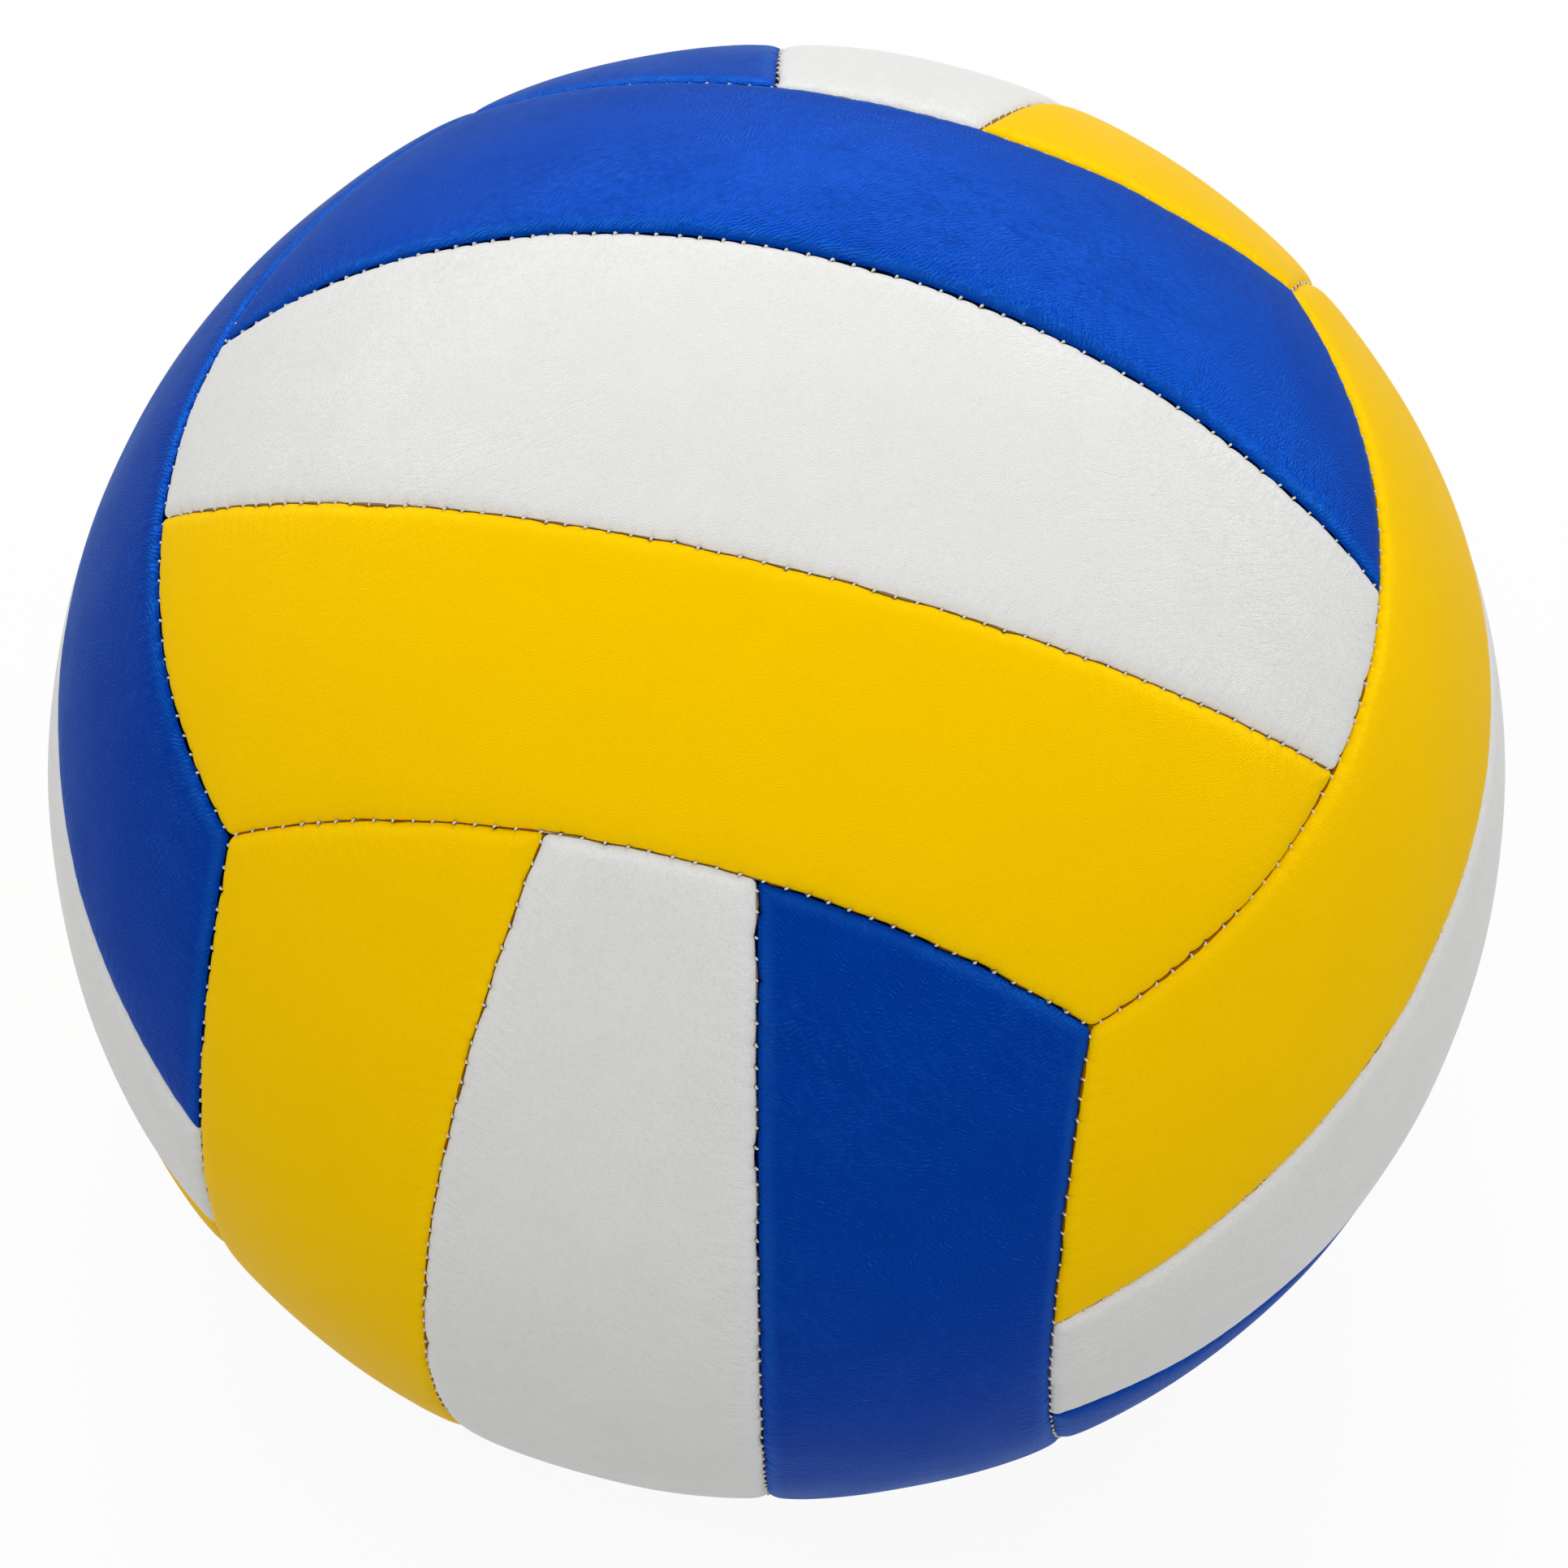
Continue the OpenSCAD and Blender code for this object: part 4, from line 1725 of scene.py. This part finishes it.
    def floor(self) -> None:
        """Lays the pale floor that keeps the ball's shadow and is white for the camera."""
        half = self.floor_size / 2.0 / MM
        mesh, row = Mesh(), np.linspace(-half, half, self.floor_points)
        x, y = np.meshgrid(row, row)
        mesh.lay(mesh.add(np.stack([x, y, np.full_like(x, -self.ball_r / MM)], -1)), closed=False)
        floor = mesh.build("floor")
        material, g, shader, place = new_material("pale_floor")
        seen, patches = self.seen(g), g.noise(place, self.floor_patch_scale, detail=3.0).outputs[0]
        low, high = self.floor_colour - self.floor_spread, self.floor_colour + self.floor_spread
        shade = g.ramp(patches, *self.floor_patch_from, low, high)
        shade = g.math("MULTIPLY", shade, g.math("MULTIPLY_ADD", seen, -self.floor_fade, 1.0))
        grey = g.add("ShaderNodeCombineColor", {0: shade, 1: shade, 2: shade}).outputs[0]
        g.put(shader.inputs["Base Color"], grey)
        shader.inputs["Roughness"].default_value = self.floor_rough
        shader.inputs["Specular IOR Level"].default_value = 0.0
        shader.inputs["Emission Color"].default_value = (1.0, 1.0, 1.0, 1.0)
        g.put(shader.inputs["Emission Strength"], g.math("MULTIPLY", seen, self.floor_glow))
        floor.data.materials.append(material)

    def build(self) -> None:
        """Sets the whole studio up."""
        self.camera()
        self.world()
        self.floor()
        self.lamp("key_lamp", self.key_from, self.key_size, self.key_power)
        self.lamp("fill_lamp", self.fill_from, self.fill_size, self.fill_power)
        self.lamp("side_lamp", self.side_from, self.fill_size, self.side_power)
        for number, turn in enumerate(self.sheen_turns):
            towards = (math.sin(math.radians(turn)), math.cos(math.radians(turn)), self.sheen_rise)
            sheen = self.lamp(f"sheen_lamp_{number}", towards, self.sheen_size, self.sheen_power)
            sheen.visible_diffuse = False
            sheen.data.color = self.sheen_colour
        bpy.context.scene.view_settings.view_transform = "Standard"


# light colours the painted highlights, groove the painted shade in the seam, deep the patches and the
# painted valley shade.
LEATHERS = {
    Colour.BLUE: LeatherFinish(
        "blue_leather",
        colour=(1, 58, 154),
        deep=(1, 44, 130),
        light=(40, 112, 208),
        groove=(1, 12, 42),
        groove_w=0.32,
        roughness=0.42,
        specular=0.03,
        metallic=0.43,
        tint=(1, 185, 235),
        ridge_scale=1650.0,
        even=0.8,
        glint=0.14,
        relief=0.00017,
        wrinkle=0.8,
    ),
    Colour.WHITE: LeatherFinish(
        "white_leather",
        colour=(233, 233, 232),
        deep=(224, 224, 222),
        light=(241, 241, 241),
        groove=(150, 130, 98),
        groove_w=0.16,
        specular=0.12,
        ridge_scale=2600.0,
        even=0.1,
        crease=0.8,
        relief=0.00012,
    ),
    Colour.YELLOW: LeatherFinish(
        "yellow_leather",
        colour=(254, 205, 1),
        deep=(246, 196, 1),
        light=(254, 214, 14),
        groove=(160, 102, 12),
        groove_w=0.17,
        specular=0.01,
        metallic=0.04,
        tint=(254, 205, 1),
        ridge_scale=2300.0,
        even=0.25,
        crease=0.6,
        relief=0.00008,
    ),
}


SEWING_THREAD = ClothFinish(
    "sewing_thread",
    colour=(238, 233, 216),
    shade=(190, 182, 158),
    thread_scale=2600.0,
    roughness=0.6,
)
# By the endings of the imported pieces' names
CORE_FINISHES = {
    "foam": RubberFinish(
        "closed_cell_foam",
        colour=(226, 218, 196),
        bloom=(240, 236, 222),
        roughness=0.85,
        cell_scale=900.0,
        bump_h=0.0003,
    ),
    "lining": ClothFinish(
        "lining_cloth",
        colour=(214, 208, 192),
        shade=(158, 150, 132),
        thread_scale=700.0,
        roughness=0.9,
    ),
    "bladder": RubberFinish(
        "bladder_rubber",
        colour=(34, 34, 36),
        bloom=(96, 95, 92),
        roughness=0.5,
        cell_scale=700.0,
    ),
    "valve_stem": RubberFinish(
        "valve_rubber",
        colour=(20, 20, 21),
        bloom=(58, 58, 60),
        roughness=0.42,
        cell_scale=1800.0,
    ),
    "valve_core": RubberFinish(
        "core_rubber",
        colour=(44, 48, 54),
        bloom=(92, 95, 100),
        roughness=0.48,
        cell_scale=1600.0,
    ),
}


def main() -> None:
    """Builds the pieces in order and reports each one."""
    logging.basicConfig(level=logging.INFO, format="%(name)s: %(message)s")
    Studio().build()
    effects = EffectSet()
    sizes, edge = BallSizes(), EdgeShape()
    stitching = Stitching(sizes)
    leathers = {colour: finish.material(effects) for colour, finish in LEATHERS.items()}
    for face in Face:
        for strip in (-1, 0, 1):
            panel = Panel(face, strip, sizes, stitching, edge)
            piece = panel.build()
            panel.dress(piece, leathers[panel.colour])
            log.info("%s: %d faces", piece.name, len(piece.data.polygons))
    thread = SEWING_THREAD.material(effects)
    families = {
        "face_seam": [end_seam(face, end, sizes) for face in Face for end in (-1, 1)],
        "strip_seam": [strip_seam(face, hand, 1, sizes) for face in Face for hand in (-1, 1)],
    }
    for family, seams in families.items():
        run = SeamThread(f"{family}_stitches", f"{family}_thread", seams, sizes, stitching)
        piece = run.build()
        run.dress(piece, thread)
        log.info("%s: %d faces", piece.name, len(piece.data.polygons))
    core = Core(frame["nodes"], CORE_FINISHES)
    log.info("packed pieces dressed: %d", core.dress(effects))


if __name__ == "__main__":
    main()
